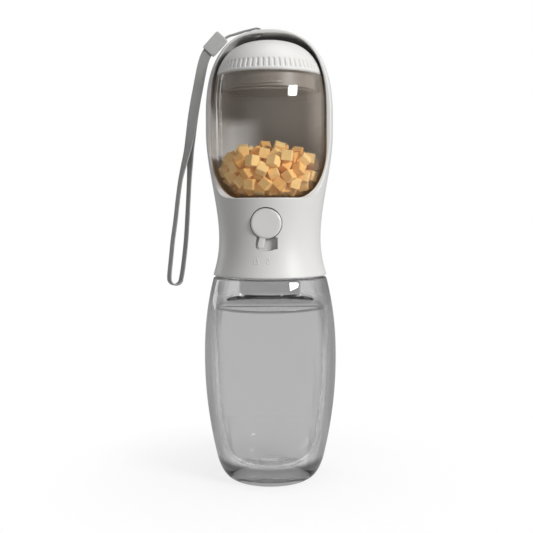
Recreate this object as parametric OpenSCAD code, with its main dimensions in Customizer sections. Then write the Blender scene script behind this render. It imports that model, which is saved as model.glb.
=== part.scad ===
// Dog travel water bottle: a clear water bottle that screws into a drinking head.
// The head holds a lift-out treat cup, a push valve behind a turn-to-lock button,
// and a carrying strap on its arch. Millimetres, +Z up, origin under the base.

/* [Bottle] */
// Widest diameter of the clear bottle
bottle_d = 75; // [72:0.5:80]
// Diameter of the flat ring that the bottle stands on
base_d = 44; // [38:1:50]
// Height at which the bottle is widest
bottle_widest_z = 69; // [60:1:75]
// Height of the shoulder, where the head begins
bottle_shoulder_z = 114.5; // [112:0.5:120]
// How far the barrel draws in below its widest point
barrel_draw_low = 7.2; // [5:0.1:9]
// How far the barrel draws in between its widest point and the shoulder
barrel_draw_high = 5.4; // [4:0.1:7]
// Wall of the bottle where it is widest, and below
bottle_wall = 7.4; // [5:0.1:8]
// Wall of the bottle at its inner shoulder
shoulder_wall = 4.9; // [4:0.1:6]
// Thickness of the bottle's floor
bottle_floor = 8; // [5:0.5:10]
// Level of the water
water_z = 97.4; // [40:0.1:104]

/* [Neck thread] */
// Outside diameter of the bottle's neck, without its thread
neck_d = 42; // [38:0.5:43]
// Height of the neck above the shoulder
neck_h = 12.5; // [11:0.5:13.5]
// Wall of the neck
neck_wall = 3.4; // [2:0.1:4]
// Rise of the neck thread in one turn
neck_pitch = 4; // [3.6:0.1:4.4]
// How far each thread ridge stands out
neck_ridge = 1.3; // [1:0.05:1.5]
// Radial gap between the neck's ridges and the socket
neck_gap = 0.6; // [0.4:0.05:0.8]
// Thickness of the neck gasket
gasket_t = 1.3; // [1:0.1:2]

/* [Head] */
// Gap between the bottle's shoulder and the head
head_gap = 1.2; // [0.8:0.1:2]
// Wall of the thread socket in the head
socket_wall = 2.2; // [1.6:0.1:2.6]
// Gap between the thread socket and the head's wall at the waist
socket_side_gap = 1.4; // [1.2:0.1:2.4]
// Height of the waist above the head's lower edge
waist_h = 20.8; // [18:0.1:24]
// How far the head flares out below its waist
flare = 3.5; // [2:0.1:4]
// Wall of the head beside the cup
head_side_wall = 3.7; // [3.2:0.1:5]
// Length of the swell from the waist to the full radius
swell_h = 60; // [52:0.5:66]
// Height of the straight band above the swell
full_band_h = 7.5; // [4:0.5:9]
// Height of the arch above the end of the full radius
arch_h = 49.5; // [49:0.1:52]
// Roundness of the arch, 2 for an ellipse and more for a squarer top
arch_power = 2.5; // [2.3:0.05:2.7]
// Wall of the head below the trough
head_wall = 2.4; // [1.8:0.1:3]
// Distance of the open front of the arch from the axis
rim_y = 9; // [6:0.5:11]

/* [Trough] */
// Height of the trough's floor above the head's lower edge
trough_floor_h = 43.5; // [42:0.1:45]
// Thickness of the trough's floor
trough_floor_t = 2.4; // [2:0.1:3]
// Half width of the flat part of the trough's floor
trough_flat_r = 16; // [12:0.5:19]
// Height of the rounded corner of the trough
trough_corner_h = 28; // [20:0.5:32]
// Gap between the cup and the trough
cup_gap = 0.3; // [0.25:0.01:0.4]

/* [Treat cup] */
// Largest radius of the cup
cup_r = 32; // [31:0.1:32.4]
// Height of the cup
cup_h = 68; // [66:0.5:69]
// Wall of the cup
cup_wall = 2; // [1.6:0.1:2.2]
// Edge of one treat
treat_edge = 5; // [4:0.1:5.2]

/* [Lid] */
// Height of the lid's dome above the cup
lid_h = 19.8; // [17:0.1:20.4]
// Height of the ribbed grip on the lid
grip_h = 6.6; // [4:0.1:8]
// Number of grooves round the grip
grip_grooves = 62; // [30:1:72]
// Depth of the grip's grooves
grip_groove_t = 0.5; // [0.3:0.05:0.7]
// Wall of the lid
lid_wall = 1.8; // [1.2:0.1:2.2]
// Gap between the lid's plug and the mouth of the cup
plug_gap = 1.94; // [1.7:0.02:2.2]
// Depth of the lid's plug in the cup
plug_h = 8; // [6:0.5:10]
// Rise of the lid's thread in one turn
lid_lead = 6; // [5:0.1:7]
// Radius of the small ring under the lid
inner_ring_r = 12.5; // [9:0.5:16]

/* [Button and valve] */
// Height of the button's axis above the head's lower edge
button_h = 29.8; // [29:0.1:30.5]
// Diameter of the button
button_d = 16.8; // [16:0.1:17.4]
// Travel of the button when it is pushed
press_travel = 2; // [1.5:0.1:2.2]
// Width of the lock tab under the button
tab_w = 3.5; // [3:0.1:4]
// Reach of the lock tab from the button's axis
tab_reach = 14; // [13:0.1:14.4]
// Angle of the tab from straight down when it is locked
tab_angle = 14; // [12:0.5:16]
// Radius of the valve stem
stem_r = 2.9; // [2.6:0.05:3.1]
// Running clearance round the stem
stem_fit = 0.06; // [0.03:0.01:0.09]
// Inner radius of the valve's chambers
chamber_r = 5; // [4.8:0.1:5.4]
// Wall of the valve body
valve_wall = 2.3; // [1.8:0.1:2.5]
// Wire diameter of the return spring
spring_wire = 0.6; // [0.5:0.05:0.8]
// Number of turns of the return spring
spring_turns = 7; // [5:1:8]

/* [Strap] */
// Width of the strap's webbing
strap_w = 5.5; // [4.5:0.1:6]
// Thickness of the strap's webbing
strap_t = 1; // [0.8:0.1:1.1]
// Diameter of the thin string that ties the strap to the arch
string_d = 1.2; // [1:0.05:1.3]
// Length of the strap's slider
slider_l = 12.2; // [10:0.1:13]
// Width of the strap's slider
slider_w = 7.8; // [7:0.1:8.2]
// Thickness of the strap's slider
slider_t = 4; // [3.6:0.1:4.4]

/* [Hidden] */
$fn = 96;
tiny = 0.01;
joint_gap = 0.1;

// Heights that the pieces share
head_z = bottle_shoulder_z + head_gap;
waist_z = head_z + waist_h;
full_z = waist_z + swell_h + full_band_h;
arch_top_z = full_z + arch_h;
floor_z = head_z + trough_floor_h;
cup_z = floor_z + cup_gap;
cup_top_z = cup_z + cup_h;
button_z = head_z + button_h;
neck_top_z = bottle_shoulder_z + neck_h;
deck_z = neck_top_z + 0.05 + gasket_t;
head_r = cup_r + cup_gap + head_side_wall;
socket_in_r = neck_d / 2 + neck_ridge + neck_gap;
waist_r = socket_in_r + socket_wall + socket_side_gap + head_wall;

// A smooth step from 0 to 1
function ease(t) = t <= 0 ? 0 : t >= 1 ? 1 : t * t * (3 - 2 * t);
// A point on a curve with four control points
function bend4(a, b, c, d, t) =
    a * pow(1 - t, 3) + 3 * b * t * pow(1 - t, 2) + 3 * c * t * t * (1 - t) + d * pow(t, 3);
// A point on a curve with three control points
function bend3(a, b, c, t) = a * pow(1 - t, 2) + 2 * b * t * (1 - t) + c * t * t;
// A quarter of a squared-off ellipse from its side at [r, z0] to its top at [0, z0 + h]
function dome(r, z0, h, power, a) = [
    r * pow(max(cos(a), 0), 2 / power),
    z0 + h * pow(sin(a), 2 / power)
];
// The radius of that dome at height z
function dome_r(r, z0, h, power, z) = r * pow(1 - pow((z - z0) / h, power), 1 / power);

// ---- Bottle ----
barrel_corner_z = 11;
shoulder_round = 1;
function barrel_low(z) = bottle_d / 2
    - barrel_draw_low * pow((bottle_widest_z - z) / (bottle_widest_z - barrel_corner_z), 2);
function barrel_high(z) = bottle_d / 2
    - barrel_draw_high * pow((z - bottle_widest_z) / (bottle_shoulder_z - bottle_widest_z), 2.2);
function barrel_r(z) = z < bottle_widest_z ? barrel_low(z) : barrel_high(z);
base_punt = 2.2;
base_ring_w = 5;
shoulder_edge_z = bottle_shoulder_z - shoulder_round;
shoulder_edge_r = barrel_high(shoulder_edge_z);
barrel_outline = concat(
    [[0, base_punt], [base_d / 2 - base_ring_w, base_punt], [base_d / 2 - base_ring_w + base_punt, 0]],
    [for (i = [0:6]) bend3([base_d / 2, 0], [base_d / 2 + 5, 0.6],
        [barrel_low(barrel_corner_z), barrel_corner_z], i / 6)],
    [for (i = [1:14]) let (z = barrel_corner_z + i * (bottle_widest_z - barrel_corner_z) / 14)
        [barrel_low(z), z]],
    [for (i = [1:14]) let (z = bottle_widest_z + i * (shoulder_edge_z - bottle_widest_z) / 14)
        [barrel_high(z), z]],
    [for (i = [1:4]) let (a = i * 22.5)
        [shoulder_edge_r - shoulder_round * (1 - cos(a)), shoulder_edge_z + shoulder_round * sin(a)]]
);
cavity_round = 14;
cavity_corner_z = bottle_floor + cavity_round;
cavity_shoulder_z = bottle_shoulder_z - 17;
cavity_dome_h = 7.8;
neck_in_r = neck_d / 2 - neck_wall;
// The wall thins evenly from the widest height up to the inner shoulder
function cavity_r(z) = barrel_r(z) - bottle_wall + (bottle_wall - shoulder_wall)
    * max(z - bottle_widest_z, 0) / (cavity_shoulder_z - bottle_widest_z);
cavity_corner_r = cavity_r(cavity_corner_z);
cavity_shoulder_r = cavity_r(cavity_shoulder_z);
cavity_low = concat(
    [[0, bottle_floor]],
    [for (i = [0:7]) bend3([cavity_corner_r - cavity_round, bottle_floor],
        [cavity_corner_r - 2, bottle_floor], [cavity_corner_r, cavity_corner_z], i / 7)],
    [for (i = [1:15]) let (z = cavity_corner_z + i * (cavity_shoulder_z - cavity_corner_z) / 15)
        [cavity_r(z), z]]
);
cavity_dome_z = cavity_shoulder_z + cavity_dome_h;
cavity_high = [for (i = [1:10]) bend4(
    [cavity_shoulder_r, cavity_shoulder_z], [cavity_shoulder_r - 0.4, cavity_shoulder_z + 4],
    [neck_in_r + 7.5, cavity_dome_z - 0.8], [neck_in_r, cavity_dome_z], i / 10)];

// A helical ridge of trapezoid section. It rises right-handed from z0 through its turns,
// and stands out from radius r by h, or inwards where h is negative.
module thread_ridge(r, h, z0, pitch, turns, foot, crest, steps) {
    count = ceil(turns * steps);
    points = [for (i = [0:count]) let (
        a = 360 * turns * i / count,
        z = z0 + pitch * turns * i / count,
        fade = min(1, 4 * min(i, count - i) / count + 0.25),
        root_r = r - sign(h) * 0.3
    ) each [
        [root_r * cos(a), root_r * sin(a), z - foot / 2],
        [(r + h * fade) * cos(a), (r + h * fade) * sin(a), z - crest / 2],
        [(r + h * fade) * cos(a), (r + h * fade) * sin(a), z + crest / 2],
        [root_r * cos(a), root_r * sin(a), z + foot / 2]
    ]];
    sides = [for (i = [0:count - 1]) for (k = [0:3]) let (
        p = 4 * i + k, q = 4 * i + (k + 1) % 4
    ) each (h > 0 ? [[p, q, q + 4], [p, q + 4, p + 4]] : [[p, q + 4, q], [p, p + 4, q + 4]])];
    last = 4 * count;
    ends = h > 0
        ? [[0, 2, 1], [0, 3, 2], [last, last + 1, last + 2], [last, last + 2, last + 3]]
        : [[0, 1, 2], [0, 2, 3], [last, last + 2, last + 1], [last, last + 3, last + 2]];
    polyhedron(points, concat(ends, sides));
}

ridge_foot = 1.7;
ridge_crest = 1;
neck_turns = 1.25;
neck_ridge_z = bottle_shoulder_z + 3;
module bottle() {
    color([0.86, 0.88, 0.88, 0.5]) {
        difference() {
            union() {
                rotate_extrude() polygon(concat(barrel_outline, [[0, bottle_shoulder_z]]));
                translate([0, 0, bottle_shoulder_z - 1]) cylinder(h = neck_h + 1, d = neck_d);
            }
            rotate_extrude() polygon(concat(cavity_low, cavity_high,
                [[neck_in_r, neck_top_z + 1], [0, neck_top_z + 1]]));
        }
        thread_ridge(neck_d / 2, neck_ridge, neck_ridge_z, neck_pitch, neck_turns,
            ridge_foot, ridge_crest, 32);
    }
}

water_gap = 0.1;
module water() {
    color([0.8, 0.85, 0.86, 0.4]) intersection() {
        rotate_extrude() polygon(concat(
            [for (p = cavity_low) [max(p[0] - water_gap, 0), p[1] + water_gap]],
            [for (p = cavity_high) [max(p[0] - water_gap, 0), p[1]]],
            [[neck_in_r - water_gap, neck_top_z - 1], [0, neck_top_z - 1]]));
        cylinder(h = water_z, r = bottle_d);
    }
}

module neck_gasket() {
    color([0.9, 0.9, 0.88]) translate([0, 0, neck_top_z + 0.05]) difference() {
        cylinder(h = gasket_t - 0.02, d = neck_d + 1);
        translate([0, 0, -1]) cylinder(h = gasket_t + 2, r = neck_in_r);
    }
}

// ---- Head shell ----
edge_round = 1;
function head_low(z) = waist_r + flare * pow((waist_z - z) / waist_h, 2);
function head_mid(z) = waist_r + (head_r - waist_r) * ease((z - waist_z) / swell_h);
function head_out(z) = z < waist_z ? head_low(z) : head_mid(z);
skin_low = [for (i = [0:7]) let (z = head_z + edge_round + i * (waist_h - edge_round) / 7)
    [head_low(z), z]];
skin_mid = [for (i = [1:16]) let (z = waist_z + i * swell_h / 16) [head_mid(z), z]];
skin_dome = [for (a = [0, 8, 14, 20, 26, 32, 38, 44, 50, 56, 62, 68, 74, 80, 85, 90])
    dome(head_r, full_z, arch_h, arch_power, a)];
head_outline = concat(
    [[0, head_z], [head_low(head_z) - edge_round, head_z]],
    [for (a = [30, 60]) [head_low(head_z) - edge_round * (1 - sin(a)), head_z + edge_round * (1 - cos(a))]],
    skin_low, skin_mid, skin_dome
);
ceiling_z = floor_z - trough_floor_t;
hollow_outline = concat(
    [[0, head_z - 1], [head_low(head_z) - head_wall, head_z - 1]],
    [for (i = [0:5]) let (z = head_z + i * waist_h / 5) [head_low(z) - head_wall, z]],
    [for (i = [1:5]) let (z = waist_z + i * (ceiling_z - waist_z) / 5) [head_mid(z) - head_wall, z]],
    [[0, ceiling_z]]
);

// ---- Trough and cup, which share one outline a gap apart ----
void_r = cup_r + cup_gap;
void_power = 2.8;
void_h = arch_h - 2.7;
corner_z = floor_z + trough_corner_h;
// Outline from the flat floor round the corner and up to the dome, grown by g
function bowl(g) = [for (a = [0:9:90]) [
    trough_flat_r + g + (cup_r - trough_flat_r) * sin(a),
    corner_z - (trough_corner_h + g - cup_gap) * cos(a)
]];
void_outline = concat([[0, floor_z]], bowl(cup_gap),
    [for (a = [0, 10, 17, 24, 31, 38, 45, 52, 59, 66, 73, 79, 85, 90])
        dome(void_r, full_z, void_h, void_power, a)]);
module trough_void() {
    rotate_extrude() polygon(void_outline);
    rotate([90, 0, 0]) linear_extrude(60) polygon(concat(void_outline,
        [for (i = [len(void_outline) - 2:-1:1]) [-void_outline[i][0], void_outline[i][1]]]));
}

// Side view of what is cut away in front of the trough and the arch
rim_flat_y = 24;
rim_curve_h = 27;
rim_curve = [for (i = [0:14]) bend4([-rim_flat_y, floor_z], [-rim_flat_y + 9, floor_z],
    [-rim_y, floor_z + 11], [-rim_y, floor_z + rim_curve_h], i / 14)];
module front_cut() {
    rotate([90, 0, 90]) linear_extrude(120, center = true) polygon(concat(
        [[-60, floor_z]], rim_curve, [[-rim_y, arch_top_z + 10], [-60, arch_top_z + 10]]));
}

// ---- Button recess ----
button_face_y = -(waist_r + 0.7);
button_t = 3.6;
button_back_y = button_face_y + button_t;
recess_r = button_d / 2 + 0.35;
recess_y = button_back_y + press_travel + 0.2;
tab_face_y = -(waist_r + 0.1);
tab_t = 1.8;
tab_slot_y = tab_face_y + tab_t + press_travel + 0.3;
pocket_y = tab_slot_y + 4.2;
tab_slot_reach = tab_reach + 0.9;
tab_gap = 1.1;
recess_wall = 1.2;
relief_gap = 0.3;
boss_r = 4.6;
boss_back_y = button_back_y + 1.8;
function fan(reach, angle) = concat([[0, 0]],
    [for (i = [-6:6]) let (a = angle * i / 6) [reach * sin(a), -reach * cos(a)]]);
// Places a flat outline on the button's axis, extruded from y0 back to y1
module on_button(y0, y1) {
    translate([0, y1, button_z]) rotate([90, 0, 0]) linear_extrude(y1 - y0) children();
}
// The slot that the tab swings in: a fan between the tab's two places, grown by g
module tab_slot_outline(g) {
    side_reach = tab_slot_reach - 1.2 + g;
    half_w = tab_w / 2 + tab_gap + g;
    polygon(fan(tab_slot_reach + g, tab_angle + 5 + 3 * g));
    for (a = [-tab_angle, tab_angle]) rotate(a) translate([-half_w, -side_reach])
        square([2 * half_w, side_reach]);
}
module recess_block() {
    on_button(-60, recess_y + recess_wall) circle(r = recess_r + recess_wall);
    on_button(-60, tab_slot_y + recess_wall) tab_slot_outline(recess_wall);
    on_button(-60, pocket_y + recess_wall) pocket_outline(recess_wall);
}
module pocket_outline(g) {
    translate([1.2 - g, -tab_slot_reach + 0.9 - g]) square([5 + 2 * g, 6.4 + 2 * g]);
}
// Room in the socket below for the walls of the slot and the pocket
module recess_relief() {
    on_button(-60, tab_slot_y + recess_wall + relief_gap) tab_slot_outline(recess_wall + relief_gap);
    on_button(-60, pocket_y + recess_wall + relief_gap) pocket_outline(recess_wall + relief_gap);
}
module recess_cut() {
    on_button(-60, recess_y) circle(r = recess_r);
    on_button(-60, recess_y + 5) circle(r = boss_r + 0.5);
    on_button(-60, tab_slot_y) tab_slot_outline(0);
    on_button(-60, pocket_y) pocket_outline(0);
}

// ---- Valve places ----
valve_front_y = -18;
front_wall_t = 8;
seat_front_y = -1.5;
inlet_y = 6;
outlet_y = -6;
spring_end_y = 13.5;
valve_back_y = 16;
valve_r = chamber_r + valve_wall;
post_r = 3.2;
post_at = neck_in_r - 3.2;
screw_r = 1.2;
screw_l = 12;
screw_head_r = 2.4;
screw_head_t = 1.5;
deck_t = 3.4;
deck_top_z = deck_z + deck_t;
outlet_tube_r = 4;
outlet_seal_r = 6;
outlet_bore_r = 2.4;
module at_posts() {
    for (a = [45:90:315]) rotate([0, 0, a]) translate([post_at * sqrt(2), 0, 0]) children();
}

// ---- Eyelets for the string, either side of a small bar in the arch ----
eyelet_y = -5.4;
eyelet_hole_x = -3.6;
eyelet_slot_x = -10;
eyelet_slot_w = 5.4;
eyelet_d = 2.6;
eyelet_hole_d = 3;
eyelet_cut_h = 12;
module eyelet_cut() {
    translate([eyelet_hole_x, eyelet_y, arch_top_z - eyelet_cut_h + 4])
        cylinder(h = eyelet_cut_h, d = eyelet_hole_d);
    translate([eyelet_slot_x - eyelet_slot_w / 2, eyelet_y - eyelet_d / 2,
        arch_top_z - eyelet_cut_h + 4]) cube([eyelet_slot_w, eyelet_d, eyelet_cut_h]);
}

module trough_housing() {
    color([0.86, 0.86, 0.85]) difference() {
        union() {
            difference() {
                rotate_extrude() polygon(head_outline);
                rotate_extrude() polygon(hollow_outline);
            }
            intersection() {
                rotate_extrude() polygon(concat([[0, head_z + 1]], skin_low, skin_mid, [[0, full_z]]));
                recess_block();
            }
            at_posts() translate([0, 0, deck_top_z + joint_gap])
                cylinder(h = ceiling_z - deck_top_z, r = post_r);
        }
        trough_void();
        front_cut();
        recess_cut();
        eyelet_cut();
        at_posts() translate([0, 0, deck_z]) cylinder(h = deck_t + screw_l, r = screw_r + 0.03);
        translate([0, outlet_y, ceiling_z - 1]) cylinder(h = 10, r = outlet_seal_r - 1.2);
        translate([0, outlet_y, floor_z - 1.1]) cylinder(h = 10, r = outlet_seal_r + 0.05);
    }
}

socket_z = head_z + 0.8;
socket_flange_t = 1.6;
socket_flange_r = head_low(socket_z + socket_flange_t) - head_wall - 0.4;
module thread_socket() {
    color([0.8, 0.8, 0.79]) {
        difference() {
            union() {
                translate([0, 0, socket_z]) cylinder(h = deck_top_z - socket_z, r = socket_in_r + socket_wall);
                translate([0, 0, socket_z]) cylinder(h = socket_flange_t, r = socket_flange_r);
            }
            translate([0, 0, socket_z - 1]) cylinder(h = deck_z - socket_z + 1, r = socket_in_r);
            translate([0, inlet_y, deck_z - 1]) cylinder(h = deck_t + 2, r = 3.55);
            at_posts() translate([0, 0, deck_z - 1]) cylinder(h = deck_t + 2, r = screw_r + 0.2);
            at_posts() translate([0, 0, deck_z - 1]) cylinder(h = screw_head_t + 1.2, r = screw_head_r + 0.1);
            recess_relief();
        }
        rotate([0, 0, 180]) thread_ridge(socket_in_r, -neck_ridge - neck_gap + 0.35,
            neck_ridge_z + neck_pitch / 2 + neck_pitch / 2, neck_pitch, neck_turns,
            ridge_foot, ridge_crest, 32);
    }
}

module socket_screws() {
    color([0.75, 0.75, 0.77]) at_posts() {
        difference() {
            translate([0, 0, deck_z + 0.1]) cylinder(h = screw_head_t, r = screw_head_r, $fn = 32);
            for (a = [0, 90]) rotate([0, 0, a]) translate([-1.4, -0.3, deck_z]) cube([2.8, 0.6, 0.9]);
        }
        translate([0, 0, deck_z + screw_head_t]) cylinder(h = screw_l - 1, r = screw_r, $fn = 32);
    }
}

// ---- Valve ----
module along_y(y0, y1, r) {
    translate([0, y0, button_z]) rotate([-90, 0, 0]) cylinder(h = y1 - y0, r = r);
}
seat_hole_r = 2.8;
inlet_tube_r = 3.5;
port_r = 2.4;
module valve_body() {
    color([0.78, 0.79, 0.8]) difference() {
        union() {
            along_y(valve_front_y, valve_back_y, valve_r);
            translate([0, inlet_y, deck_z + 0.4]) cylinder(h = button_z - deck_z - 0.4, r = inlet_tube_r);
            translate([0, inlet_y, deck_top_z + 1.3]) cylinder(h = 1.5, r = inlet_tube_r + 1.8);
            translate([0, outlet_y, button_z]) cylinder(h = ceiling_z - 0.1 - button_z, r = outlet_tube_r);
        }
        along_y(valve_front_y - 1, seat_front_y, stem_r + stem_fit);
        along_y(valve_front_y + front_wall_t, seat_front_y, chamber_r);
        along_y(seat_front_y - 1, 1, seat_hole_r);
        along_y(0, valve_back_y + 1, chamber_r);
        translate([0, inlet_y, deck_z]) cylinder(h = button_z - deck_z, r = port_r);
        translate([0, outlet_y, button_z]) cylinder(h = 20, r = port_r);
    }
}

module spring_cap() {
    color([0.7, 0.71, 0.72]) {
        along_y(spring_end_y, valve_back_y + 0.1, chamber_r - 0.05);
        along_y(valve_back_y + 0.05, valve_back_y + 1.6, valve_r);
    }
}

module outlet_seal() {
    color([0.6, 0.61, 0.62]) translate([0, outlet_y, 0]) difference() {
        union() {
            translate([0, 0, floor_z - 1.05]) cylinder(h = 1.05, r = outlet_seal_r);
            translate([0, 0, ceiling_z - 0.05]) cylinder(h = trough_floor_t - 1, r = outlet_seal_r - 1.25);
        }
        translate([0, 0, ceiling_z - 1]) cylinder(h = 6, r = outlet_bore_r);
    }
}

module inlet_seal() {
    color([0.3, 0.3, 0.31]) translate([0, inlet_y, deck_top_z + 0.65])
        rotate_extrude() translate([inlet_tube_r + 0.65, 0]) circle(r = 0.62, $fn = 24);
}

stem_front_y = button_back_y - 1.5;
clip_y = boss_back_y + 0.1;
clip_t = 0.6;
thin_stem_r = 1.6;
stem_ring_y = -13;
ring_r = 0.45;
groove_r = stem_r - 2 * ring_r;
poppet_t = 1.5;
module valve_stem() {
    color([0.82, 0.82, 0.82]) difference() {
        union() {
            along_y(stem_front_y, -8, stem_r);
            along_y(-8.5, poppet_t + 0.1 + 1, thin_stem_r);
            along_y(poppet_t + 0.1, poppet_t + 1.2, 2.3);
        }
        difference() {
            along_y(stem_ring_y - ring_r - 0.05, stem_ring_y + ring_r + 0.05, stem_r + 1);
            along_y(stem_ring_y - 1, stem_ring_y + 1, groove_r);
        }
        difference() {
            along_y(clip_y - 0.02, clip_y + clip_t + 0.02, stem_r + 1);
            along_y(clip_y - 1, clip_y + 2, stem_r - 0.6);
        }
    }
}

module stem_ring() {
    color([0.25, 0.25, 0.26]) translate([0, stem_ring_y, button_z]) rotate([90, 0, 0])
        rotate_extrude() translate([groove_r + ring_r + 0.01, 0]) circle(r = ring_r - 0.02, $fn = 24);
}

module poppet_seal() {
    color([0.35, 0.35, 0.36]) difference() {
        along_y(0.05, 0.05 + poppet_t, chamber_r - 0.7);
        along_y(-1, poppet_t + 1, thin_stem_r + 0.02);
    }
}

// Return spring: a round wire wound about the stem's axis
spring_y0 = poppet_t + 0.1;
spring_y1 = spring_end_y - 0.05;
spring_r = 3.2;
spring_rings = 10;
spring_sides = 6;
function spring_at(u) = let (a = 360 * spring_turns * u) [
    spring_r * cos(a),
    spring_y0 + spring_wire / 2 + (spring_y1 - spring_y0 - spring_wire) * u,
    button_z + spring_r * sin(a)
];
spring_gap = (spring_y1 - spring_y0 - spring_wire) / spring_turns - spring_wire;
echo("least gap between the return spring's turns", spring_gap);
module return_spring() {
    color([0.7, 0.71, 0.73]) tube([for (i = [0:spring_turns * spring_rings])
        spring_at(i / (spring_turns * spring_rings))],
        [for (k = [0:spring_sides - 1]) let (a = 360 * k / spring_sides)
            [spring_wire / 2 * cos(a), spring_wire / 2 * sin(a)]], [0, 1, 0]);
}

// ---- Tubes: a section carried along a route ----
function unit(v) = v / norm(v);
function tangent(route, i) = unit(route[min(i + 1, len(route) - 1)] - route[max(i - 1, 0)]);
// Carries the section [across, out] along the route. "wide" is the direction that the
// section's first axis keeps to, one vector for the whole route or one for each point.
module tube(route, section, wide) {
    n = len(section);
    count = len(route);
    points = [for (i = [0:count - 1]) let (
        t = tangent(route, i),
        out = unit(cross(t, is_list(wide[0]) ? wide[i] : wide)),
        across = cross(out, t)
    ) each [for (p = section) route[i] + across * p[0] + out * p[1]]];
    sides = [for (i = [0:count - 2]) for (k = [0:n - 1]) let (
        p = n * i + k, q = n * i + (k + 1) % n
    ) each [[p, q, q + n], [p, q + n, p + n]]];
    ends = [
        [for (k = [n - 1:-1:0]) k],
        [for (k = [0:n - 1]) n * (count - 1) + k]
    ];
    polyhedron(points, concat(sides, ends));
}

// ---- Button ----
cap_round = 0.8;
module button_cap() {
    color([0.84, 0.84, 0.83]) difference() {
        union() {
            along_y(button_face_y + cap_round, button_back_y, button_d / 2);
            along_y(button_face_y, button_face_y + cap_round + tiny, button_d / 2 - cap_round);
            along_y(button_back_y - tiny, boss_back_y, boss_r);
            translate([0, 0, button_z]) rotate([0, tab_angle, 0]) {
                translate([-tab_w / 2, tab_face_y, -tab_reach + tab_w / 2])
                    cube([tab_w, tab_t, tab_reach - tab_w / 2]);
                translate([0, tab_face_y, -tab_reach + tab_w / 2]) rotate([-90, 0, 0])
                    cylinder(h = tab_t, r = tab_w / 2);
            }
        }
        along_y(stem_front_y - 0.1, boss_back_y + 1, stem_r + stem_fit);
    }
}

module button_clip() {
    color([0.72, 0.72, 0.74]) difference() {
        along_y(clip_y, clip_y + clip_t, stem_r + 1.2);
        along_y(clip_y - 1, clip_y + 2, stem_r - 0.57);
        translate([-1, clip_y - 1, button_z - stem_r - 2]) cube([2, 3, stem_r + 2]);
    }
}

// ---- Treat cup ----
cup_rim_r = dome_r(void_r, full_z, void_h, void_power, cup_top_z) - cup_gap;
cup_dome = [for (i = [0:7]) let (z = full_z + i * (cup_top_z - full_z) / 7)
    [dome_r(void_r, full_z, void_h, void_power, z) - cup_gap, z]];
function cup_in(z) = z > corner_z ? cup_r - cup_wall
    : trough_flat_r + (cup_r - trough_flat_r - cup_wall)
        * sqrt(max(1 - pow((corner_z - z) / (trough_corner_h - cup_wall - cup_gap), 2), 0));
cup_floor_z = cup_z + cup_wall;
mouth_r = cup_rim_r - cup_wall;
plug_r = mouth_r - plug_gap;
mouth_h = 8.5;
lug_r = mouth_r - 1.1;
lid_starts = 3;
lug_turns = 0.14;
lug_z = cup_top_z - 5;
lug_foot = 1.4;
lug_crest = 0.8;
module treat_cup() {
    color([0.45, 0.42, 0.4, 0.6]) {
        difference() {
            rotate_extrude() polygon(concat([[0, cup_z]], bowl(0), cup_dome, [[0, cup_top_z]]));
            rotate_extrude() polygon(concat(
                [[0, cup_floor_z]],
                [for (p = bowl(0)) [
                    trough_flat_r + (p[0] - trough_flat_r) * (cup_r - trough_flat_r - cup_wall)
                        / (cup_r - trough_flat_r),
                    corner_z - (corner_z - p[1]) * (corner_z - cup_floor_z) / (corner_z - cup_z)]],
                [for (p = cup_dome) if (p[1] < cup_top_z - mouth_h - 2) [p[0] - cup_wall, p[1]]],
                [[mouth_r, cup_top_z - mouth_h], [mouth_r, cup_top_z + 1], [0, cup_top_z + 1]]));
        }
        for (i = [0:lid_starts - 1]) rotate([0, 0, i * 360 / lid_starts])
            thread_ridge(mouth_r, lug_r - mouth_r, lug_z, lid_lead, lug_turns, lug_foot, lug_crest, 48);
    }
}

// Treats lie in layers, each cube turned a little its own way
treat_pitch = treat_edge * 1.22;
treat_layers = 5;
module treats() {
    color([0.92, 0.72, 0.42]) for (k = [0:treat_layers - 1]) {
        z = cup_floor_z + treat_pitch * (k + 0.52);
        reach = cup_in(z - treat_pitch / 2) - treat_pitch / 2 - 0.6 - (k > 2 ? (k - 2) * treat_pitch : 0);
        shift = (k % 2) * treat_pitch / 2;
        n = ceil(reach / treat_pitch) + 1;
        for (i = [-n:n], j = [-n:n]) {
            x = i * treat_pitch + shift;
            y = j * treat_pitch + shift;
            if (sqrt(x * x + y * y) < reach)
                translate([x, y, z]) rotate(rands(-6, 6, 3, 1000 * k + 40 * (i + 20) + j + 20))
                    cube(treat_edge, center = true);
        }
    }
}

// ---- Lid ----
lid_z = cup_top_z + 0.3;
lid_top_z = cup_top_z + lid_h;
lid_power = 2.6;
lid_r = cup_rim_r + 0.8;
lid_base_z = cup_top_z - 12.5;
lid_dome_h = lid_top_z - lid_base_z;
function lid_out(z) = dome_r(lid_r, lid_base_z, lid_dome_h, lid_power, z);
grip_top_z = lid_z + grip_h;
lid_curve = concat(
    [for (i = [0:5]) let (z = grip_top_z + i * (lid_top_z - 3.4 - grip_top_z) / 5) [lid_out(z), z]],
    [for (a = [66, 72, 78, 84, 90]) dome(lid_r, lid_base_z, lid_dome_h, lid_power, a)]
);
lid_outline = concat([[0, lid_z], [lid_out(lid_z), lid_z]], [for (p = lid_curve)
    if (p[1] < lid_top_z - 3.3 || p[0] < lid_out(lid_top_z - 3.4) - 0.5) p]);
seal_in_r = mouth_r + 0.2;
seal_out_r = cup_rim_r - 0.7;
seal_t = 1.2;
groove_z = cup_top_z + seal_t + 0.4;
groove_end_z = grip_top_z - 0.3;
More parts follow.
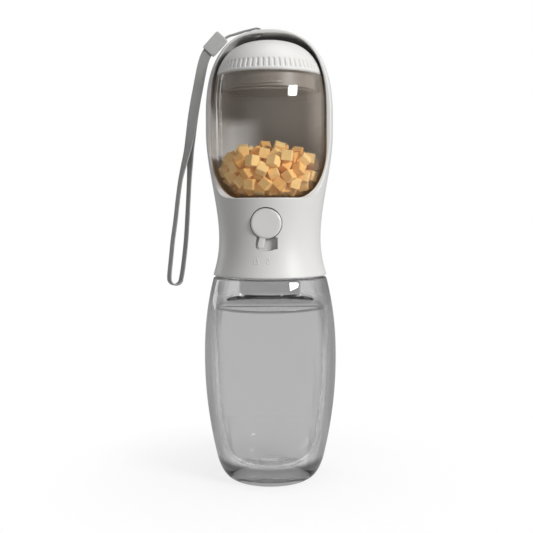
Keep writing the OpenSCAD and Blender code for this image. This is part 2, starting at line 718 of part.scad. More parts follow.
module treat_lid() {
    color([0.86, 0.86, 0.85]) difference() {
        rotate_extrude() polygon(lid_outline);
        rotate_extrude() polygon(concat(
            [[0, lid_z - 1], [plug_r + 0.1, lid_z - 1], [plug_r + 0.1, lid_z + 1.6]],
            [for (p = lid_outline) if (p[1] > lid_z + 2 && p[0] - lid_wall > 0)
                [min(p[0] - lid_wall, plug_r + 0.1), p[1] - lid_wall]],
            [[0, lid_top_z - lid_wall]]));
        translate([0, 0, cup_top_z]) difference() {
            cylinder(h = seal_t + 0.05, r = seal_out_r + 0.05);
            translate([0, 0, -1]) cylinder(h = seal_t + 3, r = seal_in_r - 0.05);
        }
        grip_grooves_cut();
    }
}
// Upright grooves that follow the lid's curve, all at one depth
module grip_grooves_cut() {
    groove_w = 2 * 180 * lid_out(lid_z) / grip_grooves / 57.3 * 0.4;
    for (i = [0:grip_grooves - 1]) rotate([90, 0, i * 360 / grip_grooves])
        linear_extrude(groove_w, center = true) polygon(concat(
            [for (k = [0:4]) let (z = groove_z + k * (groove_end_z - groove_z) / 4)
                [lid_out(z) - grip_groove_t, z]],
            [[lid_r + 1, groove_end_z], [lid_r + 1, groove_z]]));
}

module lid_plug() {
    color([0.8, 0.8, 0.79]) {
        difference() {
            union() {
                translate([0, 0, cup_top_z - plug_h]) cylinder(h = plug_h + 0.6, r = plug_r);
                translate([0, 0, cup_top_z - 0.3]) cylinder(h = 1.8, r = plug_r);
            }
            translate([0, 0, cup_top_z - plug_h - 1]) difference() {
                cylinder(h = plug_h, r = plug_r - 1.6);
                cylinder(h = plug_h, r = inner_ring_r);
            }
            translate([0, 0, cup_top_z - plug_h - 1]) cylinder(h = plug_h, r = inner_ring_r - 1.4);
            translate([0, 0, cup_top_z - plug_h - 1]) cylinder(h = plug_h - 3, r = plug_r - 2);
        }
        for (i = [0:lid_starts - 1]) rotate([0, 0, i * 360 / lid_starts])
            thread_ridge(plug_r, mouth_r - plug_r - 0.35, lug_z - lug_foot - 0.35, lid_lead,
                lug_turns, lug_foot, lug_crest, 48);
    }
}

module lid_seal() {
    color([0.55, 0.54, 0.53]) translate([0, 0, cup_top_z + 0.03]) difference() {
        cylinder(h = seal_t - 0.05, r = seal_out_r);
        translate([0, 0, -1]) cylinder(h = seal_t + 2, r = seal_in_r);
    }
}

// ---- Strap ----
// Middle of the slider, which lies against the arch at its upper left
slider_at = [-29.4, -8.5, 245.1];
slider_turn = 47;
string_side = 2;
slot_gap = 0.2;
module strap_slider() {
    color([0.6, 0.6, 0.6]) translate(slider_at) rotate([0, -slider_turn, 0]) difference() {
        cube([slider_l, slider_t, slider_w], center = true);
        translate([-slider_l / 2 - 1, -(2 * strap_t + 0.7) / 2, -strap_w / 2 - slot_gap])
            cube([slider_l / 2 + 0.8, 2 * strap_t + 0.7, strap_w + 2 * slot_gap]);
        translate([0.1, 0, -string_side]) rotate([0, 90, 0])
            cylinder(h = slider_l, d = 2 * string_d + 0.5, $fn = 24);
    }
}

// The thin string: out of the slider, over the arch, down the eyelet's hole, under its bar,
// up through its slot and back to the slider
string_route = [
    [-27.7, -9.15, 243.9], [-25.8, -9.15, 246], [-23.8, -9.1, 248.1], [-21.6, -8.6, 249.5],
    [-18.8, -7.6, 250.5], [-15.5, -6.8, 251.7], [-12, -6.3, 252.6], [-9, -6.1, 253.35],
    [-6.4, -5.9, 253.85], [-4.4, -5.6, 253.2], [-3.6, -5.4, 251.6], [-4.4, -5.4, 250.2],
    [-6.2, -5.3, 249.6], [-8.2, -5.2, 250.2], [-9, -5, 251.5], [-10.2, -4.9, 252.7],
    [-12.5, -4.7, 252.95], [-15.5, -5.1, 251.8], [-18.8, -6.1, 250.6], [-21.6, -7.1, 249.6],
    [-23.8, -7.85, 248.1], [-25.8, -7.85, 246], [-27.7, -7.85, 243.9]
];
string_sides = 8;
module strap_string() {
    color([0.42, 0.42, 0.42]) tube(string_route, [for (k = [0:string_sides - 1])
        let (a = 360 * (k + 0.5) / string_sides) string_d / 2 * [cos(a), sin(a)]], [0, 1, 0]);
}

// The webbing loop: each row gives x and z midway between its two legs, and their spread.
// It leaves the slider flat to the front and turns as it falls.
strap_rows = [
    [-29.8, 244.7, 1.3], [-31.6, 242.7, 1.3], [-33.7, 240.6, 1.3], [-35.3, 237.7, 1.3],
    [-36.6, 233.7, 1.3], [-37.9, 228, 1.3], [-39.3, 221, 1.3], [-40.9, 213, 1.3],
    [-42.4, 204, 1.3], [-43.6, 195, 1.5], [-44.8, 186, 2.2], [-46, 178, 4],
    [-47.3, 169, 5.4], [-48.4, 158, 6.4], [-49.4, 147, 7.1], [-50.6, 136, 8],
    [-51.7, 126, 8], [-52.7, 118, 7.8], [-53.2, 114, 7.2]
];
strap_turn = 58;
function strap_angle(z) = strap_turn * ease((215 - z) / 50);
function strap_wide(z) = [cos(strap_angle(z)), -sin(strap_angle(z)), 0];
function strap_out(z) = [-sin(strap_angle(z)), -cos(strap_angle(z)), 0];
function strap_leg(row, way) = [row[0], slider_at[1], row[1]] + way * row[2] / 2 * strap_out(row[1]);
strap_end = strap_rows[len(strap_rows) - 1];
strap_route = concat(
    [for (row = strap_rows) strap_leg(row, 1)],
    [for (a = [30:30:150]) strap_leg(strap_end, cos(a)) - [0, 0, strap_end[2] / 2 * sin(a)]],
    [for (i = [len(strap_rows) - 1:-1:0]) strap_leg(strap_rows[i], -1)]
);
strap_edge = 0.25;
module strap_loop() {
    wide = strap_w / 2;
    thick = strap_t / 2;
    color([0.5, 0.5, 0.5]) tube(strap_route, [
        [wide, -thick + strap_edge], [wide, thick - strap_edge],
        [wide - strap_edge, thick], [-wide + strap_edge, thick],
        [-wide, thick - strap_edge], [-wide, -thick + strap_edge],
        [-wide + strap_edge, -thick], [wide - strap_edge, -thick]
    ], [for (p = strap_route) strap_wide(p[2])]);
}

bottle();
water();
neck_gasket();
trough_housing();
thread_socket();
socket_screws();
valve_body();
spring_cap();
outlet_seal();
inlet_seal();
valve_stem();
stem_ring();
poppet_seal();
return_spring();
button_cap();
button_clip();
treat_cup();
treats();
treat_lid();
lid_plug();
lid_seal();
strap_string();
strap_slider();
strap_loop();
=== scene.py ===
import math

import bmesh
import bpy
import numpy as np
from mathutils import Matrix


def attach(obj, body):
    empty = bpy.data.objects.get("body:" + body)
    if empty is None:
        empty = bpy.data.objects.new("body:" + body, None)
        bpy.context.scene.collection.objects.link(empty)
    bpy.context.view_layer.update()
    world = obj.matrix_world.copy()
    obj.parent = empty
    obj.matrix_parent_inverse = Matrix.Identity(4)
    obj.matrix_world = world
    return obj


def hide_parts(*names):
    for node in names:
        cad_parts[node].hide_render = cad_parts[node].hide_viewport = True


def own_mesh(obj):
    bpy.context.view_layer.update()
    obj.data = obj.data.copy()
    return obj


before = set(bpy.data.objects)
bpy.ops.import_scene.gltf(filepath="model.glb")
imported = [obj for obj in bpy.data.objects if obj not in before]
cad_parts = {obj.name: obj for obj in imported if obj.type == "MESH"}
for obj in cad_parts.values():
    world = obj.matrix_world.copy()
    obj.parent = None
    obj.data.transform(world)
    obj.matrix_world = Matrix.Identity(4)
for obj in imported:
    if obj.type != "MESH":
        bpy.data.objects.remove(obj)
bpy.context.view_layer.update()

# ---- Camera ----
# A view from in front, a little to the right of the middle, from above half height. The camera looks
# down slightly, and a small lens shift does the rest.
camera_distance = 0.475
camera_height = 0.154
camera_turn = math.radians(4)
camera_pitch = math.radians(2.6)
camera_roll = math.radians(0.25)


def in_scene(name, data):
    """A new object that holds the data, linked to the scene."""
    thing = bpy.data.objects.new(name, data)
    bpy.context.scene.collection.objects.link(thing)
    return thing


camera_data = bpy.data.cameras.new("photo_camera")
camera_data.lens = 56.18
camera_data.sensor_width = 36
camera_data.shift_x = -0.006
camera_data.shift_y = -0.04
camera_data.clip_start = 0.01
camera = in_scene("photo_camera", camera_data)
camera.location = (camera_distance * math.sin(camera_turn),
                   -camera_distance * math.cos(camera_turn), camera_height)
camera.rotation_euler = (math.pi / 2 - camera_pitch, camera_roll, camera_turn)
bpy.context.scene.camera = camera

# ---- Wrist strap ----
# A loop of thin woven webbing, 5.5 mm wide. Both ends are sewn into the slider, and the loop
# hangs down the left side and turns edge-on to the front as it falls.
strap_w, strap_t, strap_y = 5.5, 1.0, -8.5
edge_on, turn_z, turn_run = math.radians(58), 215, 50
# Down the loop: x and z of its middle line, and how far apart its two legs are
strap_rows = np.array([
    [-29.8, 244.7, 1.3], [-31.6, 242.7, 1.3], [-33.7, 240.6, 1.3], [-35.3, 237.7, 1.3],
    [-36.6, 233.7, 1.3], [-37.9, 228, 1.3], [-39.3, 221, 1.3], [-40.9, 213, 1.3],
    [-42.4, 204, 1.3], [-43.6, 195, 1.5], [-44.8, 186, 2.2], [-46, 178, 4],
    [-47.3, 169, 5.4], [-48.4, 158, 6.4], [-49.4, 147, 7.1], [-50.6, 136, 8],
    [-51.7, 126, 8], [-52.7, 118, 7.8], [-53.2, 114, 7.2]])


def ease(t):
    """A smooth step: t^2 (3 - 2t), held at 0 below t = 0 and at 1 above t = 1."""
    t = np.clip(t, 0, 1)
    return t * t * (3 - 2 * t)


def angles(start, end, count):
    """`count` angles from start to end, given in degrees and returned in radians."""
    return np.radians(np.linspace(start, end, count))


def joined(*parts):
    """Coordinates put together as points, (x, y) or (x, y, z): one from each part."""
    return np.stack(np.broadcast_arrays(*parts), -1)


def unit(v):
    """Each vector divided by its length: v / |v|."""
    return v / np.linalg.norm(v, axis=-1, keepdims=True)


def smooth_route(points, steps):
    """A smooth curve through the points. Between b and c, with neighbours a and d, it is
    (2b + (c - a)t + (2a - 5b + 4c - d)t^2 + (3b - a - 3c + d)t^3) / 2 for t from 0 to 1."""
    padded = np.concatenate([2 * points[:1] - points[1:2], points,
                             2 * points[-1:] - points[-2:-1]])
    a, b, c, d = (padded[k:len(padded) - 3 + k, None] for k in range(4))
    t = np.linspace(0, 1, steps, endpoint=False)[None, :, None]
    curve = 2 * b + (c - a) * t + (2 * a - 5 * b + 4 * c - d) * t**2 + (3 * b - a - 3 * c + d) * t**3
    return np.concatenate([(curve / 2).reshape(-1, points.shape[1]), points[-1:]])


def sweep(route, wide, across, out):
    """A closed section carried along a route. Row i, column j is route_i + across_ij w_i + out_ij n_i,
    where n = unit(tangent x wide) and w = n x tangent. Each end shrinks to a point."""
    along = unit(np.gradient(route, axis=0))
    n = unit(np.cross(along, wide))
    w = np.cross(n, along)
    grid = route[:, None] + across[..., None] * w[:, None] + out[..., None] * n[:, None]
    ends = [np.broadcast_to(route[k], grid[:1].shape) for k in (0, -1)]
    return np.concatenate([ends[0], grid, ends[1]])


def build_mesh(name, sheets, uv=None, sharp=35, fill=False):
    """Joins sheets of points, (rows, columns, 3) in mm, into one mesh in metres. Point (i, j) of a
    sheet makes a quad with (i + 1, j), (i + 1, j + 1) and (i, j + 1). Points nearer than 2 um
    merge, so seams and poles close. uv holds one (rows, columns, 2) array for each sheet."""
    points, quads, count = [], [], 0
    for sheet in sheets:
        rows, columns = sheet.shape[:2]
        at = count + np.arange(rows * columns).reshape(rows, columns)
        quads.append(joined(at[:-1, :-1], at[1:, :-1], at[1:, 1:], at[:-1, 1:]).reshape(-1, 4))
        points.append(sheet.reshape(-1, 3))
        count += rows * columns
    points, quads = np.concatenate(points) / 1000, np.concatenate(quads)
    mesh = bpy.data.meshes.new(name)
    mesh.vertices.add(len(points))
    mesh.vertices.foreach_set("co", points.ravel())
    mesh.loops.add(quads.size)
    mesh.loops.foreach_set("vertex_index", quads.ravel())
    mesh.polygons.add(len(quads))
    mesh.polygons.foreach_set("loop_start", np.arange(len(quads)) * 4)
    mesh.update(calc_edges=True)
    if uv is not None:
        flat = np.concatenate([u.reshape(-1, 2) for u in uv])
        mesh.uv_layers.new(name="surface").uv.foreach_set("vector", flat[quads.ravel()].ravel())
    return finished(mesh, sharp, fill)


def finished(mesh, sharp=35, fill=False):
    """Merges double points, fills open ends where asked, turns the faces outwards (the signed volume
    comes out positive) and shades them smooth across edges below the sharp angle in degrees."""
    shape = bmesh.new()
    shape.from_mesh(mesh)
    bmesh.ops.remove_doubles(shape, verts=shape.verts, dist=2e-6)
    if fill:
        bmesh.ops.holes_fill(shape, edges=[e for e in shape.edges if e.is_boundary], sides=0)
    bmesh.ops.recalc_face_normals(shape, faces=shape.faces)
    if shape.calc_volume(signed=True) < 0:
        bmesh.ops.reverse_faces(shape, faces=shape.faces)
    shape.to_mesh(mesh)
    shape.free()
    mesh.polygons.foreach_set("use_smooth", np.ones(len(mesh.polygons), bool))
    mesh.set_sharp_from_angle(angle=math.radians(sharp))
    return mesh


def place(mesh, body, slot, material, *nodes):
    """Makes the mesh a piece that rides on a body, takes the given material and stands for the named
    CAD nodes. The slot is not used."""
    piece = in_scene(mesh.name, mesh)
    mesh.materials.clear()
    mesh.materials.append(material)
    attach(piece, body)
    if nodes:
        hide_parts(*nodes)
    return piece


def feed(node, **inputs):
    """Gives a node its inputs, each by its name, with _ for a space, or by _ and its number: a value,
    an output, or a node, which stands for its first output. A lower-case name is a setting."""
    for key, value in inputs.items():
        if key.islower():
            setattr(node, key, value)
            continue
        socket = node.inputs[int(key[1:]) if key[1:].isdigit() else key.replace("_", " ")]
        if isinstance(value, bpy.types.Node):
            value = value.outputs[0]
        if isinstance(value, bpy.types.NodeSocket):
            node.id_data.links.new(value, socket)
        else:
            socket.default_value = value


def node_maker(tree):
    """Returns add(kind, inputs), which puts a shader node in the tree and feeds it."""
    def add(kind, **inputs):
        node = tree.nodes.new("ShaderNode" + kind)
        feed(node, **inputs)
        return node

    return add


def new_material(name, **values):
    """A material with one Principled shader, fed with the values. Returns the material, its shader
    and the function that adds nodes to it."""
    material = bpy.data.materials.new(name)
    material.use_nodes = True
    shader = material.node_tree.nodes["Principled BSDF"]
    feed(shader, **values)
    return material, shader, node_maker(material.node_tree)


def ramp(add, value, *stops, blend="LINEAR"):
    """The colour that a value has on a scale. Each stop is its place and its colour, or its grey."""
    node = add("ValToRGB", Fac=value)
    node.color_ramp.interpolation = blend
    steps = node.color_ramp.elements
    steps[0].position, steps[-1].position = stops[0][0], stops[-1][0]
    shades = [(*((c,) * 3 if np.isscalar(c) else c), 1) for _, c in stops]
    steps[0].color, steps[-1].color = shades[0], shades[-1]
    for (place_at, _), shade in zip(stops[1:-1], shades[1:-1]):
        steps.new(place_at).color = shade
    return node


def woven(name, dark, light, threads, rib):
    """A plain weave on the piece's own UV map, which is in mm: warp and weft threads, `threads` to
    the mm, each a rounded ridge with painted shade in its dips and a painted highlight on its crown,
    with a fine fuzz over it."""
    material, shader, add = new_material(name, Sheen_Weight=0.35, Sheen_Roughness=0.5)
    uv = add("TexCoord").outputs["UV"]
    scaled = add("Mapping", Vector=uv, Scale=(threads, threads * rib, 1))
    warp, weft = (add("TexWave", bands_direction=way, Vector=scaled, Scale=0.5, Distortion=0.4,
                      Detail_Scale=2).outputs["Fac"] for way in "XY")
    thread = add("Math", operation="MULTIPLY", _0=warp, _1=weft)
    fuzz = add("TexNoise", Vector=uv, Scale=9, Detail=3)
    height = add("Math", operation="MULTIPLY_ADD", _0=fuzz, _1=0.5, _2=thread)
    bump = add("Bump", Strength=0.6, Distance=0.00025, Height=height)
    rough = add("MapRange", Value=fuzz, To_Min=0.7, To_Max=0.95)
    feed(shader, Base_Color=ramp(add, height, (0.1, dark), (0.9, light)), Normal=bump,
         Roughness=rough)
    return material


def run_along(line):
    """The distance along a line of points up to each of them."""
    return np.concatenate([[0], np.cumsum(np.linalg.norm(np.diff(line, axis=0), axis=1))])


# The loop hangs flat at the top and turns edge-on as it falls
turn = edge_on * ease((turn_z - strap_rows[:, 1]) / turn_run)
strap_wide = joined(np.cos(turn), -np.sin(turn), 0)
strap_out = joined(-np.sin(turn), -np.cos(turn), 0)
leg = joined(strap_rows[:, 0], strap_y, strap_rows[:, 1])
half_spread = strap_rows[:, 2:] / 2
bend = np.radians(np.arange(30, 151, 30))[:, None]
fold = leg[-1] + half_spread[-1] * (np.cos(bend) * strap_out[-1] - np.sin(bend) * [0, 0, 1])
strap_points = np.concatenate([leg + strap_out * half_spread, fold,
                               (leg - strap_out * half_spread)[:0:-1]])
strap_sides = np.concatenate([strap_wide, np.repeat(strap_wide[-1:], len(fold), 0),
                              strap_wide[:0:-1]])
strap_line, strap_side_line = smooth_route(strap_points, 10), smooth_route(strap_sides, 10)

# The section is a flat band with rounded selvedges and a slightly hollow middle
band = angles(0, 360, 41)
band_across = strap_w / 2 * np.sign(np.cos(band)) * np.abs(np.cos(band)) ** 0.55
band_out = strap_t / 2 * np.sign(np.sin(band)) * np.abs(np.sin(band)) ** 0.45
band_out = band_out * (0.82 + 0.18 * ease(np.abs(band_across) - 1.4))
strap_sheet = sweep(strap_line, strap_side_line, band_across, band_out)
strap_along = run_along(strap_line)
strap_uv = joined(np.pad(strap_along, 1, "edge")[:, None], band_across)
webbing = woven("grey_webbing", (0.21, 0.21, 0.208), (0.5, 0.5, 0.49), 2.4, 1.6)
strap = place(build_mesh("wrist_strap", [strap_sheet], [strap_uv], sharp=60), "head", "webbing",
              webbing, "strap_loop")

# ---- Slider on the strap ----
# A small flat keeper covered in light grey woven tape. The webbing is sewn into its lower end and
# the string runs into its upper end.
slider_at, slider_size = np.array([-29.4, -8.5, 245.1]), (12.2, 4.0, 7.8)
slider_turn = math.radians(47)


def rounded_block(size, power, count):
    """A block with rounded edges: x = a c(u) c(v), y = b s(v), z = h s(u) c(v), where c and s are the
    cosine and sine raised to 2 / power with their sign kept, and a, b, h are half the size."""
    def part(f, angle):
        return np.sign(f(angle)) * np.abs(f(angle)) ** (2 / power)
    u = np.linspace(0, 2 * math.pi, 4 * count + 1)[None, :]
    v = np.linspace(-math.pi / 2, math.pi / 2, 2 * count + 1)[:, None]
    x, z = part(np.cos, u) * part(np.cos, v), part(np.sin, u) * part(np.cos, v)
    return joined(x, part(np.sin, v), z) * np.array(size) / 2


slider_grid = rounded_block(slider_size, 12, 24)
slider_uv = slider_grid[..., [0, 2]]
cos_s, sin_s = math.cos(slider_turn), math.sin(slider_turn)
slider_x, slider_y, slider_z = np.moveaxis(slider_grid, -1, 0)
slider_turned = slider_at + joined(slider_x * cos_s - slider_z * sin_s, slider_y,
                                   slider_x * sin_s + slider_z * cos_s)
tape = woven("grey_tape", (0.36, 0.36, 0.355), (0.62, 0.62, 0.61), 1.7, 1)
slider = place(build_mesh("strap_keeper", [slider_turned], [slider_uv], sharp=50), "head", "slider",
               tape, "strap_slider")

# ---- Hanging string ----
# A thin grey cord of three twisted strands. It runs from the slider over the arch, down one
# eyelet, under the small bar and up through the other, and back to the slider.
string_d, string_lay = 1.2, 3.4
string_points = np.array([
    [-27.7, -9.15, 243.9], [-25.8, -9.15, 246], [-23.8, -9.1, 248.1], [-21.6, -8.6, 249.5],
    [-18.8, -7.6, 250.5], [-15.5, -6.8, 251.7], [-12, -6.3, 252.6], [-9, -6.1, 253.35],
    [-6.4, -5.9, 253.85], [-4.4, -5.6, 253.2], [-3.6, -5.4, 251.6], [-4.4, -5.4, 250.2],
    [-6.2, -5.3, 249.6], [-8.2, -5.2, 250.2], [-9, -5, 251.5], [-10.2, -4.9, 252.7],
    [-12.5, -4.7, 252.95], [-15.5, -5.1, 251.8], [-18.8, -6.1, 250.6], [-21.6, -7.1, 249.6],
    [-23.8, -7.85, 248.1], [-25.8, -7.85, 246], [-27.7, -7.85, 243.9]])


def round_sweep(line, radius, angle):
    """A round section carried along a line: it goes r cos a across and r sin a out."""
    return sweep(line, np.array([0.0, 1.0, 0.0]), radius * np.cos(angle), radius * np.sin(angle))


string_line = smooth_route(string_points, 14)
string_along = run_along(string_line)
round_angle = angles(0, 360, 37)[None, :]
# Three strands: the radius swells three times round, and the swells turn with the length
strand = np.abs(np.cos(1.5 * (round_angle - 2 * math.pi * string_along[:, None] / string_lay)))
string_radius = string_d / 2 * (0.74 + 0.26 * strand**0.7)
string_sheet = round_sweep(string_line, string_radius, round_angle)
string_uv = joined(np.pad(string_along, 1, "edge")[:, None], round_angle * string_d / 2)
thread = woven("grey_string", (0.16, 0.16, 0.158), (0.42, 0.42, 0.41), 5, 1)
string = place(build_mesh("strap_cord", [string_sheet], [string_uv], sharp=70), "head", "string",
               thread, "strap_string")

# ---- Bottle ----
# A thick-walled blow-moulded bottle of clear plastic, widest at mid height and drawn in towards its
# base, with a ring to stand on. Its neck carries the thread that the head screws onto.
bottle_r, widest_z, shoulder_z, mouth_z = 37.5, 69.0, 114.5, 127.0
foot_r, foot_top, side_top = 22.0, 11.0, 113.4
neck_r, neck_in_r, cavity_low, cavity_high = 21.0, 17.6, 22.0, 97.5
thread_z, thread_pitch, thread_turns, thread_h = 117.5, 4.0, 1.25, 1.3
columns = 256


def bend3(a, b, c, count):
    """A curve with three control points: a(1-t)^2 + 2bt(1-t) + ct^2, t from 0 to 1."""
    t = np.linspace(0, 1, count)[:, None]
    return np.array(a) * (1 - t) ** 2 + 2 * np.array(b) * t * (1 - t) + np.array(c) * t**2


def bend4(a, b, c, d, count):
    """A curve with four control points: a(1-t)^3 + 3bt(1-t)^2 + 3ct^2(1-t) + dt^3, t from 0 to 1."""
    t = np.linspace(0, 1, count)[:, None]
    return (np.array(a) * (1 - t) ** 3 + 3 * np.array(b) * t * (1 - t) ** 2
            + 3 * np.array(c) * t**2 * (1 - t) + np.array(d) * t**3)


def turned(profile, count=columns):
    """A profile of (radius, height) turned about the Z axis: x = r cos a, y = r sin a, z = h."""
    a = np.linspace(0, 2 * math.pi, count + 1)[None, :]
    r, h = profile[:, :1], profile[:, 1:]
    return joined(r * np.cos(a), r * np.sin(a), h)


def path_through(*parts):
    """Joins pieces of a profile, points or curves, into one."""
    return np.concatenate([np.atleast_2d(np.array(p, float)) for p in parts])


def barrel(z):
    """The bottle's outer radius: 37.5 less 7.2 ((69 - z)/58)^2 below the widest height, and less
    5.4 ((z - 69)/45.5)^2.2 above it."""
    low = 7.2 * (np.maximum(widest_z - z, 0) / 58) ** 2
    high = 5.4 * (np.maximum(z - widest_z, 0) / 45.5) ** 2.2
    return bottle_r - low - high


def inside(z):
    """The cavity's radius: the outer radius less a wall of 7.4 that thins to 4.9 near the shoulder."""
    return barrel(z) - 7.4 + 2.5 * np.maximum(z - widest_z, 0) / (cavity_high - widest_z)


side_z = np.linspace(foot_top, side_top, 60)
cavity_z = np.linspace(cavity_low, cavity_high, 44)
barrel_side = joined(barrel(side_z), side_z)
cavity_side = joined(inside(cavity_z), cavity_z)
low_in, high_in, top_out = inside(cavity_low), inside(cavity_high), barrel(114)
foot = bend3([foot_r, 0], [27, 0.6], [barrel(foot_top), foot_top], 24)
cavity_corner = bend3([low_in - 18, 7.6], [low_in - 2.5, 8], [low_in, cavity_low], 30)
cavity_dome = bend4([high_in, cavity_high], [high_in - 0.4, 101.5], [25.1, 104.5],
                    [neck_in_r, 105.3], 20)
shoulder = bend3([barrel(side_top), side_top], [top_out - 0.05, shoulder_z],
                 [top_out - 1.2, shoulder_z], 8)
bottle_profile = path_through(
    # The dished base and the ring it stands on, then up the side to the neck
    [[0, 2.9], [6, 2.75], [13, 2.5]], bend3([17.5, 2.2], [19.6, 2], [20, 0.9], 8),
    bend3([20, 0.9], [20.2, 0], [21, 0], 6), foot[1:], barrel_side[1:], shoulder[1:],
    [[23, shoulder_z]], bend3([22.2, shoulder_z], [neck_r, 114.6], [neck_r, 116], 6),
    joined(neck_r, np.linspace(116.2, 126, 90)),
    bend3([neck_r, 126.2], [neck_r, mouth_z], [20.2, mouth_z], 5),
    # Over the mouth and down the inside
    bend3([18.4, mouth_z], [neck_in_r, mouth_z], [neck_in_r, 126.2], 5),
    [[neck_in_r, 120], [neck_in_r, 112], [neck_in_r, 106.4]], cavity_dome[::-1],
    cavity_side[::-1][1:], cavity_corner[::-1][1:], [[6, 6.6], [0, 6.3]])
bottle_grid = turned(bottle_profile)

# The thread stands out from the neck where a helix passes: 4 mm pitch, one turn and a quarter
swept = (np.linspace(0, 1, columns + 1)[None, :] + np.arange(2)[:, None])[:, None, :]
gap = np.abs(bottle_profile[None, :, 1:] - (thread_z + thread_pitch * swept))
ends = np.clip(np.minimum(swept, thread_turns - swept) * 5, 0, 1)
ridge = (thread_h * ease((0.95 - gap) / 0.5) * ends).max(0)
on_neck = (np.abs(bottle_profile[:, :1] - neck_r) < 0.01) & (bottle_profile[:, 1:] > 116)
bottle_grid[..., :2] *= 1 + on_neck[..., None] * ridge[..., None] / neck_r

bottle_mesh = build_mesh("clear_bottle", [bottle_grid])
spots = np.empty(len(bottle_mesh.vertices) * 3)
bottle_mesh.vertices.foreach_get("co", spots)
spots = spots.reshape(-1, 3) * 1000
far_out, spot_z = np.hypot(spots[:, 0], spots[:, 1]), spots[:, 2]
skin = np.where(spot_z < foot_top, (far_out > 21.5) | (spot_z < 5.5), far_out > barrel(spot_z) - 2.5)
outer_skin = bottle_mesh.attributes.new("outer_skin", "FLOAT", "POINT")
outer_skin.data.foreach_set("value", skin.astype(np.float32))

clear, shader, add = new_material("clear_plastic", Transmission_Weight=1.0, IOR=1.1, Metallic=0.0,
                                  Coat_Weight=0.7, Coat_Roughness=0.015, Coat_IOR=1.5)
at = add("TexCoord").outputs["Object"]
# Painted shade: the outer skin darkens where it is seen edge-on, with faint upright streaks of painted
# reflection
facing = add("LayerWeight", Blend=0.5).outputs["Facing"]
streak = add("TexNoise", Vector=add("Mapping", Vector=at, Scale=(330, 330, 5)), Scale=1, Detail=2)
streak = add("MapRange", Value=streak, From_Min=0.3, From_Max=0.7, To_Min=0.86, To_Max=1.14)
facing = add("Math", operation="MULTIPLY", _0=facing, _1=streak)
on_skin = add("Attribute", attribute_name="outer_skin").outputs["Fac"]
edge = add("Math", operation="MULTIPLY", _0=facing, _1=on_skin)
tint_and_edge_shade = ramp(add, edge, (0.3, 0.7), (0.42, 0.36), (0.7, 0.24), (1, 0.04))
# Painted shade: the solid foot and the shoulder are made darker than the sides
height = add("SeparateXYZ", _0=at).outputs["Z"]
foot_shade = ramp(add, add("MapRange", Value=height, From_Max=0.02), (0.08, 0.85),
                  (0.26, 0.2), (0.56, 0.1), (0.8, 1), blend="EASE")
unshaded = add("Math", operation="SUBTRACT", _0=1.0, _1=on_skin)
unshaded = add("Math", operation="MAXIMUM", _0=add("NewGeometry").outputs["Backfacing"], _1=unshaded)
foot = add("Mix", data_type="RGBA", _0=unshaded, _6=foot_shade, _7=(1, 1, 1, 1))
top_shade = add("MapRange", interpolation_type="SMOOTHSTEP", Value=height, From_Min=0.097,
                From_Max=0.104, To_Min=1.0, To_Max=0.77)
wall = add("VectorMath", operation="MULTIPLY", _0=tint_and_edge_shade, _1=foot.outputs[2])
wall = add("VectorMath", operation="MULTIPLY", _0=wall, _1=top_shade)
wave = add("TexNoise", Vector=at, Scale=70, Detail=2)
rough = add("MapRange", Value=wave, To_Min=0.0, To_Max=0.03)
bump = add("Bump", Strength=0.25, Distance=0.0006, Height=wave)
feed(shader, Base_Color=wall, Roughness=rough, Normal=bump)
place(bottle_mesh, "bottle", "clear_bottle", clear, "bottle")

# ---- Water ----
# The drinking water, filled to just under the inner shoulder. It wets the wall, so its surface
# curls up in a thin rim at the edge.
water_z, water_gap, rim_h = 97.4, 0.1, 0.8
wet_z = np.linspace(cavity_low, water_z + rim_h, 44)
rim_r = inside(water_z) - water_gap
top_r = rim_r - np.array([0, 0.15, 0.4, 0.8, 1.3, 2, 3, 4.5, 7, 12, 20, rim_r])
water_profile = path_through(
    [[0, 6.4], [6, 6.7]], cavity_corner + [-water_gap, water_gap],
    joined(inside(wet_z) - water_gap, wet_z)[1:],
    joined(top_r, water_z + rim_h * np.exp(-(rim_r - top_r) / 1.1))[1:])
water, shader, add = new_material("water", Transmission_Weight=1.0, IOR=1.02, Metallic=0.0,
                                  Roughness=0.0, Base_Color=(0.93, 0.93, 0.93, 1), Coat_Weight=0.5,
                                  Coat_Roughness=0.0, Coat_IOR=1.33)
at = add("TexCoord").outputs["Object"]
ripple = add("TexNoise", Vector=at, Scale=45, Detail=1)
bump = add("Bump", Strength=0.1, Distance=0.0004, Height=ripple)
# Painted shade: the surface is darker where it curls up to the wall
spot = add("SeparateXYZ", _0=at)
across = add("CombineXYZ", X=spot.outputs["X"], Y=spot.outputs["Y"])
across = add("VectorMath", operation="LENGTH", _0=across)
curl = add("MapRange", interpolation_type="SMOOTHSTEP", Value=across.outputs["Value"],
           From_Min=0.021, From_Max=0.0285, To_Min=0.0, To_Max=0.8)
on_top = add("MapRange", Value=spot.outputs["Z"], From_Min=0.0968, From_Max=0.0971)
rim_shade = add("Math", operation="MULTIPLY", _0=curl, _1=on_top)
shade = add("Mix", data_type="RGBA", _0=rim_shade, _6=(0.93, 0.93, 0.93, 1), _7=(0.1, 0.1, 0.1, 1))
feed(shader, Normal=bump, Base_Color=shade.outputs[2])
place(build_mesh("drinking_water", [turned(water_profile)]), "bottle", "water", water, "water")

# ---- Head ----
# One moulded shell of warm light grey plastic with a fine satin grain: the waist that screws onto
# the bottle, the trough in the middle and the arch over it.


